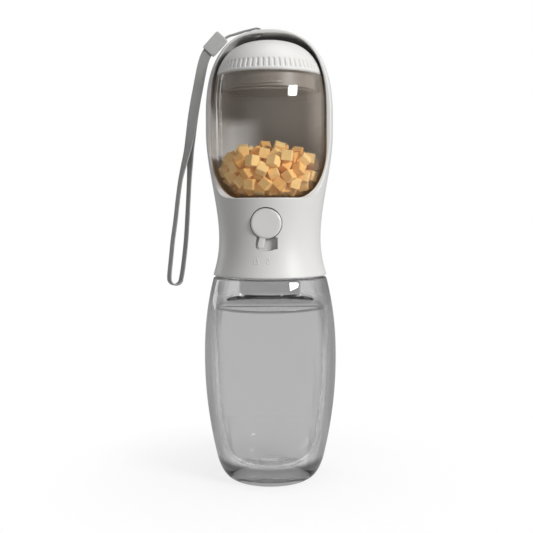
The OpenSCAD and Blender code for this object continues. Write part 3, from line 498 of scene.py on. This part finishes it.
def moulded_plastic():
    """Node group: takes a colour and a roughness and gives them back with the faint mottle of moulded
    plastic, and the height of its fine grain, about 0.3 mm from speck to speck."""
    group = bpy.data.node_groups.new("moulded_plastic", "ShaderNodeTree")
    for name, kind in (("Colour", "Color"), ("Roughness", "Float")):
        for way in ("INPUT", "OUTPUT"):
            group.interface.new_socket(name, in_out=way, socket_type="NodeSocket" + kind)
    group.interface.new_socket("Height", in_out="OUTPUT", socket_type="NodeSocketFloat")
    given, result = group.nodes.new("NodeGroupInput"), group.nodes.new("NodeGroupOutput")
    add = node_maker(group)
    at = add("TexCoord").outputs["Object"]
    cloud = add("TexNoise", Vector=at, Scale=60, Detail=3)
    grain = add("TexNoise", Vector=at, Scale=3200, Detail=2)
    shade = add("MapRange", Value=cloud, To_Min=0.955, To_Max=1.03)
    tinted = add("VectorMath", operation="MULTIPLY", _0=given.outputs["Colour"], _1=shade)
    rough = add("MapRange", Value=cloud, To_Min=-0.06, To_Max=0.08)
    total = add("Math", _0=given.outputs["Roughness"], _1=rough)
    feed(result, Colour=tinted, Roughness=total, Height=grain)
    return group


plastic_group = moulded_plastic()


def plastic(name, colour, roughness, grain, **values):
    """A moulded plastic of that colour and roughness. grain is the depth of its grain in mm."""
    material, shader, add = new_material(name, **values)
    finish = add("Group", node_tree=plastic_group, Colour=(*colour, 1), Roughness=roughness)
    bump = add("Bump", Strength=0.5, Distance=grain / 1000, Height=finish.outputs["Height"])
    feed(shader, Base_Color=finish.outputs["Colour"], Roughness=finish.outputs["Roughness"],
         Normal=bump)
    return material


# The skin's outline and the places of the cuts, in mm, as the solids have them
head_z, trough_z, head_r, full_z, dome_h = 115.7, 159.2, 36.0, 204.0, 49.5
void_r, void_h, rim_y, button_z = 32.3, 46.8, -9.0, 145.5
waist_r, waist_z, ceiling_z, head_wall = 28.9, 136.5, 156.8, 2.4
# How deep, in y, the cuts in front go: recess, guide hole, tab slot and lock pocket
recess_back, guide_back, slot_back, pocket_back = -23.8, -18.8, -24.9, -25.9
eyelet_y = -5.4


def head_skin(z):
    """The head's outer radius: 28.9 at the waist, z = 136.5, flaring by 3.5 ((136.5 - z)/20.8)^2
    below it and swelling by 7.1 ease((z - 136.5)/60) above it."""
    return (waist_r + 3.5 * (np.maximum(waist_z - z, 0) / 20.8) ** 2
            + 7.1 * ease((z - waist_z) / 60))


def carve(mesh, cutter, operation="DIFFERENCE"):
    """The mesh after an exact cut, join or overlap with another closed mesh."""
    pair = [in_scene("carve", m) for m in (mesh, cutter)]
    step = pair[0].modifiers.new("carve", "BOOLEAN")
    step.solver, step.operation, step.object = "EXACT", operation, pair[1]
    graph = bpy.context.evaluated_depsgraph_get()
    whole = bpy.data.meshes.new_from_object(pair[0].evaluated_get(graph))
    whole.name = mesh.name
    for thing in pair:
        bpy.data.objects.remove(thing)
    return whole


def pushed(outline, y0, y1):
    """A closed outline of (x, z) points pushed from y0 to y1, with flat ends."""
    loop = np.concatenate([outline, outline[:1]])
    return build_mesh("cutter", [joined(loop[:, 0], np.array([[y0], [y1]]), loop[:, 1])], fill=True)


def disc(r, x=0.0, z=button_z, count=72):
    """Points of a circle: (x + r cos a, z + r sin a)."""
    a = np.linspace(0, 2 * math.pi, count, endpoint=False)
    return joined(x + r * np.cos(a), z + r * np.sin(a))


def tab_slot(grow):
    """The slot that the button's tab swings in, a fan below the button's axis with soft corners:
    points (r sin a, -r cos a) with a from the vertical, grown outwards by `grow`."""
    polar = np.array([[6.2, 46], [9, 34.5], [12, 28.2], [13.6, 25.2], [14.1, 23], [14.7, 19.5]])
    sweep_a = np.linspace(18, -18, 13)
    a = np.radians(np.concatenate([polar[:, 1], sweep_a, -polar[::-1, 1]]))
    r = np.concatenate([polar[:, 0], np.full(13, 14.9), polar[::-1, 0]])
    way = joined(np.sin(a), -np.cos(a))
    sideways = joined(np.cos(a), np.sin(a)) * (np.sign(a) * (np.abs(a) > 0.33))[:, None]
    return np.array([0, button_z]) + way * (r[:, None] + 0.7 * grow) + sideways * 0.8 * grow


# The lower body: hollow below, closed by the trough's floor, with a soft lip in front
round_z = np.linspace(0, 2 * math.pi, columns + 1)[None, :]
from_front = np.abs(np.degrees(round_z) - 270)
lip = 0.7 * (1 - ease((from_front - 35) / 5)) + 0.01
low_z = np.linspace(head_z + 1, trough_z - 1.4, 52)
hollow_z = np.linspace(ceiling_z - 1.2, head_z + 0.5, 24)
under_r, foot_in_r = head_skin(ceiling_z) - head_wall, head_skin(head_z) - head_wall
low_profile = path_through(
    [[0, ceiling_z], [14, ceiling_z], [23, ceiling_z]],
    bend3([under_r - 1.2, ceiling_z], [under_r, ceiling_z],
          [head_skin(hollow_z[0]) - head_wall, hollow_z[0]], 5),
    joined(head_skin(hollow_z) - head_wall, hollow_z)[1:],
    bend3([foot_in_r, head_z + 0.3], [foot_in_r, head_z], [foot_in_r + 0.3, head_z], 4),
    bend3([head_skin(head_z) - 1, head_z], [head_skin(head_z), head_z],
          [head_skin(head_z + 1), head_z + 1], 7),
    joined(head_skin(low_z), low_z)[1:])
edge_row = np.linspace(0, 1, 8)[:, None]
edge_z = trough_z - lip
lip_in_r = head_skin(trough_z) - lip
bent_r = (head_skin(edge_z) * (1 - edge_row) ** 2
          + 2 * head_skin(trough_z) * edge_row * (1 - edge_row) + lip_in_r * edge_row**2)
bent_z = (edge_z * (1 - edge_row) ** 2 + 2 * trough_z * edge_row * (1 - edge_row)
          + trough_z * edge_row**2)
cap_r = lip_in_r * np.array([[0.85], [0.6], [0.3], [0]])
lip_r, lip_h = np.concatenate([bent_r, cap_r]), np.concatenate([bent_z, 0 * cap_r + trough_z])
lip_grid = joined(lip_r * np.cos(round_z), lip_r * np.sin(round_z), lip_h)
body_mesh = build_mesh("head_lower_body", [np.concatenate([turned(low_profile), lip_grid])])

# The button's recess, its tab slot and the lock's pocket each have a wall of their own behind the skin
core_z = np.linspace(head_z + 1, trough_z - 1, 30)
core = build_mesh("core", [turned(path_through(
    [[0, head_z + 1]], joined(head_skin(core_z) - 0.9, core_z), [[0, trough_z - 1]]), 96)])
pocket = np.array([[1.2, 131.5], [6.2, 131.5], [6.2, 137.9], [1.2, 137.9]])
pocket_block = np.array([[0, 130.3], [7.4, 130.3], [7.4, 139.1], [0, 139.1]])
for block, back in ((disc(9.95), -22.6), (tab_slot(1.2), -23.7), (pocket_block, -19.5)):
    body_mesh = carve(body_mesh, carve(pushed(block, -60, back), core, "INTERSECT"), "UNION")
for opening, back in ((disc(8.75), recess_back), (disc(5.1), guide_back),
                      (tab_slot(0), slot_back), (pocket, pocket_back)):
    body_mesh = carve(body_mesh, pushed(opening, -60, back))
outlet = path_through([[0, 150]], [[4.8, 150], [4.8, 158.1], [6.06, 158.1], [6.06, 165]], [[0, 165]])
body_mesh = carve(body_mesh, build_mesh("cutter", [turned(outlet, 72) + [0, -6, 0]]))
body_mesh = finished(body_mesh, sharp=28)

# The arch: a C-shaped wall from the trough's floor up one side, over the top and down the other. Each
# row is a half plane through the Y axis: w is the distance from that axis and y the depth.
rise = angles(0, 90, 46)
arch_z = np.concatenate([trough_z + 28 * (1 - np.cos(rise)), np.linspace(187.2, full_z, 14)[1:]])
bowl_w = np.concatenate([16.3 + 16 * np.sin(rise), np.full(13, void_r)])
rim = bend4([-24, trough_z], [-15, trough_z], [rim_y, 170.2], [rim_y, 186.2], 900)
rim_edge = np.interp(arch_z, rim[:, 1], rim[:, 0])
over = np.linspace(0, math.pi, 121)[1:-1]
tilt = np.concatenate([0 * arch_z, over, 0 * arch_z + math.pi])[:, None]
axis_z = np.concatenate([arch_z, 0 * over + full_z, arch_z[::-1]])[:, None]
skin_r = np.concatenate([head_skin(arch_z), 0 * over + head_r, head_skin(arch_z[::-1])])[:, None]
void_w = np.concatenate([bowl_w, 0 * over + void_r, bowl_w[::-1]])[:, None]
face_y = np.concatenate([rim_edge, 0 * over + rim_y, rim_edge[::-1]])[:, None]
soft = 0.9 * ease((axis_z - trough_z) / 7)


def shell_reach(u, r, h, power):
    """Distance from the row's axis point to the dome of radius r and height h, in the direction that
    makes the angle u with the row: ((|horizontal|/r)^p + (|upwards|/h)^p)^(-1/p)."""
    flat = np.sqrt((np.cos(tilt) * np.cos(u)) ** 2 + np.sin(u) ** 2)
    return ((flat / r) ** power + (np.abs(np.sin(tilt) * np.cos(u)) / h) ** power) ** (-1 / power)


def angle_at(y):
    """The angle u at which the outer shell has the depth y: reach(u) sin u = y, by repeated steps."""
    u = np.arcsin(np.clip(y / skin_r, -1, 1))
    for _ in range(30):
        u = np.arcsin(np.clip(y / shell_reach(u, skin_r, dome_h, 2.5), -1, 1))
    return u


share = np.linspace(0, 1, 84)[None, :]
bend_share = np.linspace(0, 1, 7)[None, 1:]
outer_u = math.pi / 2 + (angle_at(face_y + soft) - math.pi / 2) * share
outer_reach = shell_reach(outer_u, skin_r, dome_h, 2.5)
outer = joined(outer_reach * np.cos(outer_u), outer_reach * np.sin(outer_u))
face_u = angle_at(face_y)
rim_edge_at = joined(shell_reach(face_u, skin_r, dome_h, 2.5) * np.cos(face_u), face_y)
inner_w = shell_reach(np.zeros_like(tilt), void_w, void_h, 2.8)
inset = joined(soft, 0)
deeper = joined(0, soft)
brim = joined(inner_w, face_y)
inner_u = np.linspace(0, math.pi / 2, 60)[None, :]
inner_reach = shell_reach(inner_u, void_w, void_h, 2.8)
inner = joined(inner_reach * np.cos(inner_u), inner_reach * np.sin(inner_u))


def bent(a, b, c):
    """Rounds the corner b of each row from a to c: a(1-t)^2 + 2bt(1-t) + ct^2."""
    t = bend_share[..., None]
    return a * (1 - t) ** 2 + 2 * b * t * (1 - t) + c * t**2


depth = np.linspace(0, 1, 9)[None, 1:-1, None]
start = brim + 0.7 * deeper
face_from, face_to = rim_edge_at - inset, brim + 0.7 * inset
rows = np.concatenate([
    outer, bent(outer[:, -1:], rim_edge_at, face_from),
    face_from + (face_to - face_from) * np.linspace(0, 1, 6)[None, 1:, None],
    bent(face_to, brim, start), start + (inner[:, :1] - start) * depth, inner], axis=1)
arch_grid = joined(rows[..., 0] * np.cos(tilt), rows[..., 1], axis_z + rows[..., 0] * np.sin(tilt))
arch_mesh = build_mesh("head_arch", [arch_grid], fill=True)

# Two eyelets for the string, a round one and a slot, go through the top of the arch
slot_a = np.radians(np.linspace(0, 360, 48, endpoint=False))
slot_shape = joined(np.cos(slot_a), np.sin(slot_a))
slot_shape = np.sign(slot_shape) * np.abs(slot_shape) ** 0.45
eyelet_z = np.array([245.5, 260.0])[:, None]
for opening in (disc(1.5, -3.6, eyelet_y, 40),
                np.array([-10, eyelet_y]) + np.array([2.7, 1.3]) * slot_shape):
    loop = np.concatenate([opening, opening[:1]])[None]
    grid = joined(loop[..., 0], loop[..., 1], eyelet_z)
    arch_mesh = carve(arch_mesh, build_mesh("cutter", [grid], fill=True))
arch_mesh = finished(arch_mesh, sharp=32)

housing = plastic("housing_plastic", (0.66, 0.655, 0.64), 0.42, 0.02, Specular_IOR_Level=0.4)
for mesh in (body_mesh, arch_mesh):
    place(mesh, "head", "housing", housing, "trough_housing")

# ---- Pieces inside the head ----
# The thread socket and the valve are satin plastic, their seals rubber, and the screws and the clip
# steel. The lid's plug is coloured a dark brown-grey. They keep the solids' shapes, and show as the
# head or the lid comes off and through the clear plastic.
satin = plastic("inner_plastic", (0.62, 0.62, 0.61), 0.5, 0.02)
taupe = plastic("plug_plastic", (0.26, 0.225, 0.195), 0.4, 0.02)
rubber = plastic("grey_rubber", (0.12, 0.12, 0.125), 0.7, 0.03)
pale_rubber = plastic("pale_rubber", (0.7, 0.7, 0.68), 0.65, 0.03)
steel, shader, add = new_material("brushed_steel", Metallic=1.0)
at = add("TexCoord").outputs["Object"]
lines = add("TexNoise", Vector=add("Mapping", Vector=at, Scale=(6000, 900, 900)), Scale=1, Detail=3)
rough = add("MapRange", Value=lines, To_Min=0.22, To_Max=0.4)
bump = add("Bump", Strength=0.3, Distance=0.00001, Height=lines)
feed(shader, Base_Color=ramp(add, lines, (0, (0.5, 0.5, 0.51)), (1, (0.66, 0.66, 0.67))),
     Roughness=rough, Normal=bump)
for material, nodes in (
        (satin, ("thread_socket", "valve_body", "spring_cap", "valve_stem")), (taupe, ("lid_plug",)),
        (rubber, ("outlet_seal", "inlet_seal", "stem_ring", "poppet_seal")),
        (pale_rubber, ("neck_gasket", "lid_seal")),
        (steel, ("socket_screws", "button_clip"))):
    for node in nodes:
        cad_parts[node].data.materials.clear()
        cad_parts[node].data.materials.append(material)

# ---- Return spring ----
# A coil of steel wire round the valve's stem, closed at both ends. It sits between the valve's disc
# and its cap, and the button presses it together.
spring_front, spring_back, spring_r, wire_r = 1.6, 13.45, 3.2, 0.3
spring_turns, press_depth = 7, 2.0
wound = np.linspace(0, spring_turns, spring_turns * 40 + 1)
wound_y = np.interp(wound, [0, 0.9, spring_turns - 0.9, spring_turns], [0, 0.07, 0.93, 1])
wound_y = spring_front + wire_r + (spring_back - spring_front - 2 * wire_r) * wound_y
wire_line = joined(spring_r * np.cos(2 * math.pi * wound), wound_y,
                   button_z + spring_r * np.sin(2 * math.pi * wound))
spring_sheet = round_sweep(wire_line, wire_r, angles(0, 360, 13))
spring = place(build_mesh("coil_spring", [spring_sheet], sharp=60), "head", "steel", steel,
               "return_spring")
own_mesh(spring)

# ---- Lock marks ----
# Two small plain marks moulded into the skin under the button, a padlock where the tab locks it and
# a drop where it lets water through.
mark_z, mark_line, padlock_x, drop_x = 125.2, 0.24, -5.3, 1.2
padlock = np.array([[0, 0.1], [1.2, 0.1], [1.2, -1.5], [-1.2, -1.5], [-1.2, 0.1], [0, 0.1]])
# Straight from corner to corner, with 8 points to each line
to_next = np.diff(padlock, axis=0)[:, None] * np.linspace(0, 0.99, 8)[None, :, None]
padlock = (padlock[:-1, None] + to_next).reshape(-1, 2)
half_turn = angles(0, 180, 13)
bow = joined(0.75 * np.cos(half_turn), 0.5 + 0.85 * np.sin(half_turn))
bow = np.concatenate([[[0.75, 0.1]], bow, [[-0.75, 0.1]]])
full_turn = angles(0, 360, 41)
drop = joined(1.05 * np.sin(full_turn) * np.sin(full_turn / 2) ** 1.4, 1.5 * np.cos(full_turn))
around = angles(0, 360, 9)
marks = []
for line, x in ((padlock, padlock_x), (smooth_route(bow, 4), padlock_x),
                (smooth_route(drop, 4), drop_x)):
    mark_x, up = line[:, 0] + x, line[:, 1] + mark_z
    mark_route = joined(mark_x, -np.sqrt(head_skin(up) ** 2 - mark_x**2) + 0.04, up)
    marks.append(round_sweep(mark_route, mark_line, around))
place(build_mesh("lock_marks", marks), "head", "housing", housing)

# ---- Button ----
# A round push button with a tab below it that swings to lock it. Moulded in the head's plastic, a
# little glossier, with a soft bevel round its face.
button_r, button_front, button_back = 8.4, -29.6, -26.0
tab_turn, tab_half, tab_end = math.radians(14), 1.75, 14.0
button_profile = path_through(
    [[0, button_front + 0.12], [3, button_front + 0.1], [5.4, button_front + 0.03]],
    bend3([6.9, button_front], [button_r, button_front], [button_r, button_front + 1.3], 9),
    [[button_r, -27.4]], bend3([button_r, -26.4], [button_r, button_back], [8.0, button_back], 4),
    [[5.2, button_back], [4.6, button_back], [4.6, -24.4], [4.4, -24.2], [3.1, -24.2], [2.96, -24.35],
     [2.96, -27.6], [0, -27.6]])
button_grid = turned(button_profile, 96)
button_grid = joined(button_grid[..., 0], button_grid[..., 2], button_grid[..., 1] + button_z)


def tab_ring(inset, y):
    """The tab's outline, drawn in by `inset`: straight sides and a half-round end, (along, over)
    turned about the button's axis."""
    a = angles(-90, 90, 25)
    along = np.concatenate([[4 + inset], tab_end - tab_half + (tab_half - inset) * np.cos(a),
                            [4 + inset]])
    over = np.concatenate([[-1], np.sin(a), [1]]) * (tab_half - inset)
    along, over = np.append(along, along[0]), np.append(over, over[0])
    return joined(over * math.cos(tab_turn) - along * math.sin(tab_turn), y,
                  button_z - along * math.cos(tab_turn) - over * math.sin(tab_turn))


tab_rows = [(1.7, -29.0), (0.55, -29.0), (0.28, -28.94), (0.1, -28.78), (0, -28.5), (0, -27.35),
            (0.15, -27.2), (1.7, -27.2)]
tab_grid = np.stack([tab_ring(*row) for row in tab_rows])
button_plastic = plastic("button_plastic", (0.68, 0.675, 0.66), 0.33, 0.012, Specular_IOR_Level=0.45)
place(build_mesh("lock_button", [button_grid, tab_grid], fill=True, sharp=40), "button", "button",
      button_plastic, "button_cap")

# ---- Treat cup ----
# A clear cup in smoky brown-grey plastic that slides into the trough from the front. Its rounded
# bottom follows the trough, and its walls look denser where they are seen edge-on.
cup_r, cup_wall, cup_rim_r = 32.0, 2.0, 30.24
smoky, shader, add = new_material(
    "smoky_plastic", Metallic=0.0, Coat_Weight=1.0, Coat_Roughness=0.02, Coat_IOR=2.2,
    Specular_IOR_Level=0.8, Roughness=0.05, Base_Color=(0.54, 0.48, 0.41, 1))
at = add("TexCoord").outputs["Object"]
edge = add("LayerWeight", Blend=0.5)
streak = add("TexNoise", Vector=add("Mapping", Vector=at, Scale=(150, 150, 12)), Scale=1, Detail=2)
film = ramp(add, edge.outputs["Facing"], (0.25, 0.08), (1, 0.6))
height = add("SeparateXYZ", _0=at)
# Painted shade: the film is denser towards the top, where the trough behind it lies in the arch's
# shade
upper = add("MapRange", interpolation_type="SMOOTHSTEP", Value=height.outputs["Z"],
            From_Min=0.183, From_Max=0.205, To_Min=0.4)
film_and_shade = add("Math", operation="MULTIPLY", _0=film, _1=upper)
alpha = add("Math", operation="MULTIPLY_ADD", _0=streak, _1=0.03, _2=film_and_shade)
bump = add("Bump", Strength=0.15, Distance=0.0005, Height=streak)
feed(shader, Alpha=alpha, Normal=bump)
cup_top_z, corner_z, cup_flat, inner_floor = 227.5, 187.2, 16.0, 161.5
mouth_r, lug_top = 28.24, 222.5
bowl_turn = angles(0, 90, 40)
straight_z = np.linspace(corner_z, full_z, 8)[1:]
neck_z = np.linspace(full_z, cup_top_z - 0.6, 16)[1:]


def cup_dome(z):
    """The cup's outer radius above its straight part: the trough's dome less a gap of 0.3 mm."""
    return void_r * (1 - (np.maximum(z - full_z, 0) / void_h) ** 2.8) ** (1 / 2.8) - 0.3


inner_neck = np.linspace(full_z, cup_top_z - 10.5, 9)
inner_mouth = np.linspace(cup_top_z - 9.2, cup_top_z - 0.5, 56)
cup_profile = path_through(
    [[0, trough_z + 0.3], [8, trough_z + 0.3]],
    joined(cup_flat + 16 * np.sin(bowl_turn), corner_z - 27.7 * np.cos(bowl_turn)),
    joined(cup_r, straight_z), joined(cup_dome(neck_z), neck_z),
    bend3([cup_rim_r, cup_top_z - 0.5], [cup_rim_r - 0.05, cup_top_z],
          [cup_rim_r - 0.6, cup_top_z], 5),
    bend3([mouth_r + 0.5, cup_top_z], [mouth_r, cup_top_z], [mouth_r, cup_top_z - 0.5], 5),
    joined(mouth_r, inner_mouth[::-1])[1:],
    joined(cup_dome(inner_neck) - cup_wall, inner_neck)[::-1],
    joined(cup_r - cup_wall, straight_z[-2::-1]),
    joined(cup_flat + 14 * np.sin(bowl_turn), corner_z - 25.7 * np.cos(bowl_turn))[::-1],
    [[8, inner_floor], [0, inner_floor]])
cup_grid = turned(cup_profile)
# Three short lugs in the mouth hold the lid's thread
lug_swept = (np.linspace(0, 1, columns + 1)[None, :] * 3 % 1) / 3
lug_gap = np.abs(cup_profile[:, 1:] - lug_top - 6 * lug_swept)
lug_ends = np.clip(np.minimum(lug_swept, 0.14 - lug_swept) * 40, 0, 1)
lug = 1.1 * ease((0.75 - lug_gap) / 0.4) * lug_ends
on_mouth = np.abs(cup_profile[:, :1] - mouth_r) < 0.01
cup_grid[..., :2] *= 1 - on_mouth[..., None] * lug[..., None] / mouth_r
place(build_mesh("smoky_cup", [cup_grid]), "cup", "smoky_cup", smoky, "treat_cup")

# ---- Treats ----
# Baked cubes, about 6 mm, poured into the cup so that they lie every way up.
treat_edge, treat_count = 5.9, 168
seeded = np.random.default_rng(7)


def pile(count, rounds):
    """Centres of the heaped cubes. Each round moves pairs apart that are nearer than the cubes' usual
    spacing, lets them all sink a little, and keeps them in the bowl and below the heap's surface."""
    near, reach = 7.0, 5.4
    p = seeded.uniform(-1, 1, (count, 3)) * [20, 20, 13] + [0, 0, 178]
    for _ in range(rounds):
        between = p[:, None] - p[None]
        far = np.linalg.norm(between, axis=-1) + np.eye(count) * 99
        push = np.clip(near - far, 0, None)[..., None] * between / far[..., None]
        p = p + 0.28 * push.sum(1) - [0, 0, 0.02]
        depth = np.clip((187.2 - p[:, 2]) / (27.7 - reach), 0, 1)
        limit = 16 + (16 - reach) * np.sqrt(1 - depth**2)
        r = np.hypot(p[:, 0], p[:, 1]) + 1e-6
        p[:, :2] *= np.minimum(1, limit / r)[:, None]
        left, right = np.clip(-9 - p[:, 0], 0, None), np.clip(p[:, 0] - 9, 0, None)
        p[:, 2] = np.clip(p[:, 2], 164.6, 190.2 - 0.05 * left**2 - 0.024 * right**2)
    return p


centres = pile(treat_count, 500)
half_edge, chamfer = treat_edge / 2, 0.35
signs = np.array([[x, y, z] for x in (-1, 1) for y in (-1, 1) for z in (-1, 1)], float)
cube_points = np.concatenate([signs * (half_edge - chamfer * (1 - np.eye(3)[k])) for k in range(3)])
faces = bmesh.new()
for point in cube_points:
    faces.verts.new(point)
bmesh.ops.convex_hull(faces, input=faces.verts)
bmesh.ops.dissolve_limit(faces, angle_limit=0.02, verts=faces.verts, edges=faces.edges)
faces.verts.index_update()
template = np.array([v.co[:] for v in faces.verts])
template_faces = [np.array([v.index for v in f.verts]) for f in faces.faces]
faces.free()
spin = seeded.normal(size=(treat_count, 4))
w, x, y, z = unit(spin).T
turns = joined(1 - 2 * (y * y + z * z), 2 * (x * y - w * z), 2 * (x * z + w * y),
               2 * (x * y + w * z), 1 - 2 * (x * x + z * z), 2 * (y * z - w * x),
               2 * (x * z - w * y), 2 * (y * z + w * x), 1 - 2 * (x * x + y * y)).reshape(-1, 3, 3)
sizes = seeded.uniform(0.93, 1.02, (treat_count, 1, 3))
cubes = (template[None] * sizes + seeded.normal(0, 0.05, (treat_count, len(template), 3))) @ turns
cubes = cubes + centres[:, None]
cube_starts = len(template) * np.arange(treat_count)[:, None]
all_faces = sum(((face[None] + cube_starts).tolist() for face in template_faces), [])
treat_mesh = bpy.data.meshes.new("baked_treats")
treat_mesh.from_pydata((cubes.reshape(-1, 3) / 1000).tolist(), [], all_faces)
tone = treat_mesh.attributes.new("tone", "FLOAT", "POINT")
tones = np.repeat(seeded.uniform(0, 1, treat_count), len(template))
tone.data.foreach_set("value", tones.astype(np.float32))
finished(treat_mesh, sharp=20)

# The treats glow faintly in their own colour: painted light that lifts them in the shaded trough
biscuit, shader, add = new_material("baked_biscuit", Sheen_Weight=0.1, Emission_Strength=0.04)
at = add("TexCoord").outputs["Object"]
shift = add("Attribute", attribute_name="tone")
crumb = add("TexNoise", Vector=at, Scale=900, Detail=6, Roughness=0.65)
patch = add("TexNoise", Vector=at, Scale=180, Detail=2)
mixed = add("Math", operation="MULTIPLY_ADD", _0=patch, _1=0.7, _2=shift.outputs["Fac"])
colour = ramp(add, mixed, (0.25, (0.78, 0.38, 0.085)), (1, (0.95, 0.63, 0.24)))
bump = add("Bump", Strength=0.7, Distance=0.00025, Height=crumb)
rough = add("MapRange", Value=crumb, To_Min=0.6, To_Max=0.85)
feed(shader, Base_Color=colour, Roughness=rough, Normal=bump, Emission_Color=colour)
place(treat_mesh, "cup", "treats", biscuit, "treats")

# ---- Lid ----
# A domed screw lid in the head's plastic. Its grip is a band of fine upright ribs above a plain lip.
# Its plug goes into the cup's mouth, and its seal lies on the rim.
lid_z, lid_low, lid_r, lid_h, lid_power, lid_wall = 227.8, 215.0, 31.04, 32.3, 2.6, 1.8
ribs, rib_depth, grip_low, grip_top, crown_from = 62, 0.55, 229.0, 234.6, 240.0
# The seal's groove in the lid's foot, then the hollow over the plug and where it starts and ends
groove_r, groove_in_r, groove_top = 29.59, 28.39, 228.75
hollow_r, hollow_low, hollow_high = 26.4, 229.0, 241.0


def lid_skin(z):
    """The lid's outer radius: 31.04 (1 - ((z - 215)/32.3)^2.6)^(1/2.6)."""
    up = np.clip(z - lid_low, 0, lid_h - 0.01) / lid_h
    return lid_r * (1 - up**lid_power) ** (1 / lid_power)


lower_z = np.linspace(lid_z + 0.5, crown_from, 50)
crown = angles(52, 90, 26)
crown_r = lid_r * np.cos(crown) ** (2 / lid_power)
crown_z = lid_low + lid_h * np.sin(crown) ** (2 / lid_power)
keep = crown_z > crown_from + 0.2
roof_z = np.linspace(hollow_low, hollow_high, 14)
roof_r = np.minimum(lid_skin(roof_z + lid_wall) - lid_wall, hollow_r)
lid_profile = path_through(
    joined(crown_r, crown_z)[keep][::-1], joined(lid_skin(lower_z), lower_z)[::-1],
    bend3([lid_skin(lid_z + 0.5), lid_z + 0.45], [lid_skin(lid_z), lid_z], [29.7, lid_z], 4),
    [[groove_r, lid_z + 0.02], [groove_r, groove_top], [groove_in_r, groove_top],
     [groove_in_r, lid_z], [hollow_r, lid_z]],
    joined(roof_r, roof_z),
    joined(crown_r - lid_wall, crown_z - lid_wall)[keep & (crown_r > 3)],
    [[0, lid_low + lid_h - lid_wall]])
lid_profile[0, 0] = 0
lid_grid = turned(lid_profile, ribs * 10)
across_rib = np.cos(ribs * np.linspace(0, 2 * math.pi, ribs * 10 + 1))[None, :]
outside = np.arange(len(lid_profile))[:, None] < keep.sum() + 50
heights = lid_profile[:, 1:]
in_grip = ease((heights - grip_low) / 0.6) * ease((grip_top - heights) / 1.6) * outside
rib_gap = rib_depth * in_grip * ease((across_rib + 0.35) / 0.9)
lid_grid[..., :2] *= (1 - rib_gap / np.maximum(lid_profile[:, :1], 1))[..., None]
lid_plastic = plastic("lid_plastic", (0.65, 0.645, 0.63), 0.4, 0.02, Specular_IOR_Level=0.4)
place(build_mesh("ribbed_lid", [lid_grid], sharp=40), "lid", "lid", lid_plastic, "treat_lid")

# ---- Studio ----
# A white sweep: the floor under the object takes its soft shadow and fades to plain white.
floor_rings = np.array([[0, 0], [60, 0], [150, 0], [400, 0], [1000, 0], [3000, 0]], float)
floor = in_scene("floor", build_mesh("floor", [turned(floor_rings, 64)]))


def strength(add, on_object):
    """A glow's strength: 1, which shows as white, to the camera and through clear plastic, and
    `on_object` for the light that it throws on the object."""
    rays = add("LightPath").outputs
    seen = add("Math", operation="MAXIMUM", _0=rays["Is Camera Ray"], _1=rays["Is Transmission Ray"])
    return add("MapRange", Value=seen, To_Min=on_object, To_Max=1.0)


floor_paint = bpy.data.materials.new("floor_paint")
floor_paint.use_nodes = True
floor_paint.node_tree.nodes.clear()
add = node_maker(floor_paint.node_tree)
matt = add("BsdfDiffuse", Color=(0.93, 0.93, 0.93, 1))
glow = add("Emission", Color=(1, 1, 1, 1), Strength=strength(add, 0.42))
away = add("VectorMath", operation="LENGTH", _0=add("TexCoord").outputs["Object"])
fade = add("MapRange", interpolation_type="SMOOTHSTEP", Value=away.outputs["Value"],
           From_Min=0.05, From_Max=0.14, To_Min=0.8)
mix = add("MixShader", Fac=fade, _1=matt, _2=glow)
add("OutputMaterial", Surface=mix)
floor.data.materials.append(floor_paint)

world = bpy.data.worlds.new("studio")
bpy.context.scene.world = world
world.use_nodes = True
background = world.node_tree.nodes["Background"]
background.inputs["Color"].default_value = (1, 1, 1, 1)
feed(background, Strength=strength(node_maker(world.node_tree), 0.27))


def soft_lamp(name, at, target, size, power):
    """A rectangular soft box at a point, facing a target point. Its size is in metres."""
    data = bpy.data.lights.new(name, "AREA")
    data.shape, data.size, data.size_y, data.energy = "RECTANGLE", *size, power
    lamp = in_scene(name, data)
    lamp.location = at
    way = np.array(target) - np.array(at)
    lamp.rotation_euler = (math.atan2(math.hypot(way[0], way[1]), -way[2]), 0,
                           math.atan2(-way[0], way[1]))


soft_lamp("key", (0.72, -0.55, 0.45), (0, 0, 0.15), (0.28, 0.1), 7)
soft_lamp("top", (0.15, -0.1, 1.1), (0, 0, 0.1), (0.7, 0.7), 4.5)
soft_lamp("back_left", (-0.8, 0.5, 0.4), (0, 0, 0.15), (0.3, 0.6), 1.5)
bpy.context.scene.view_settings.view_transform = "Standard"
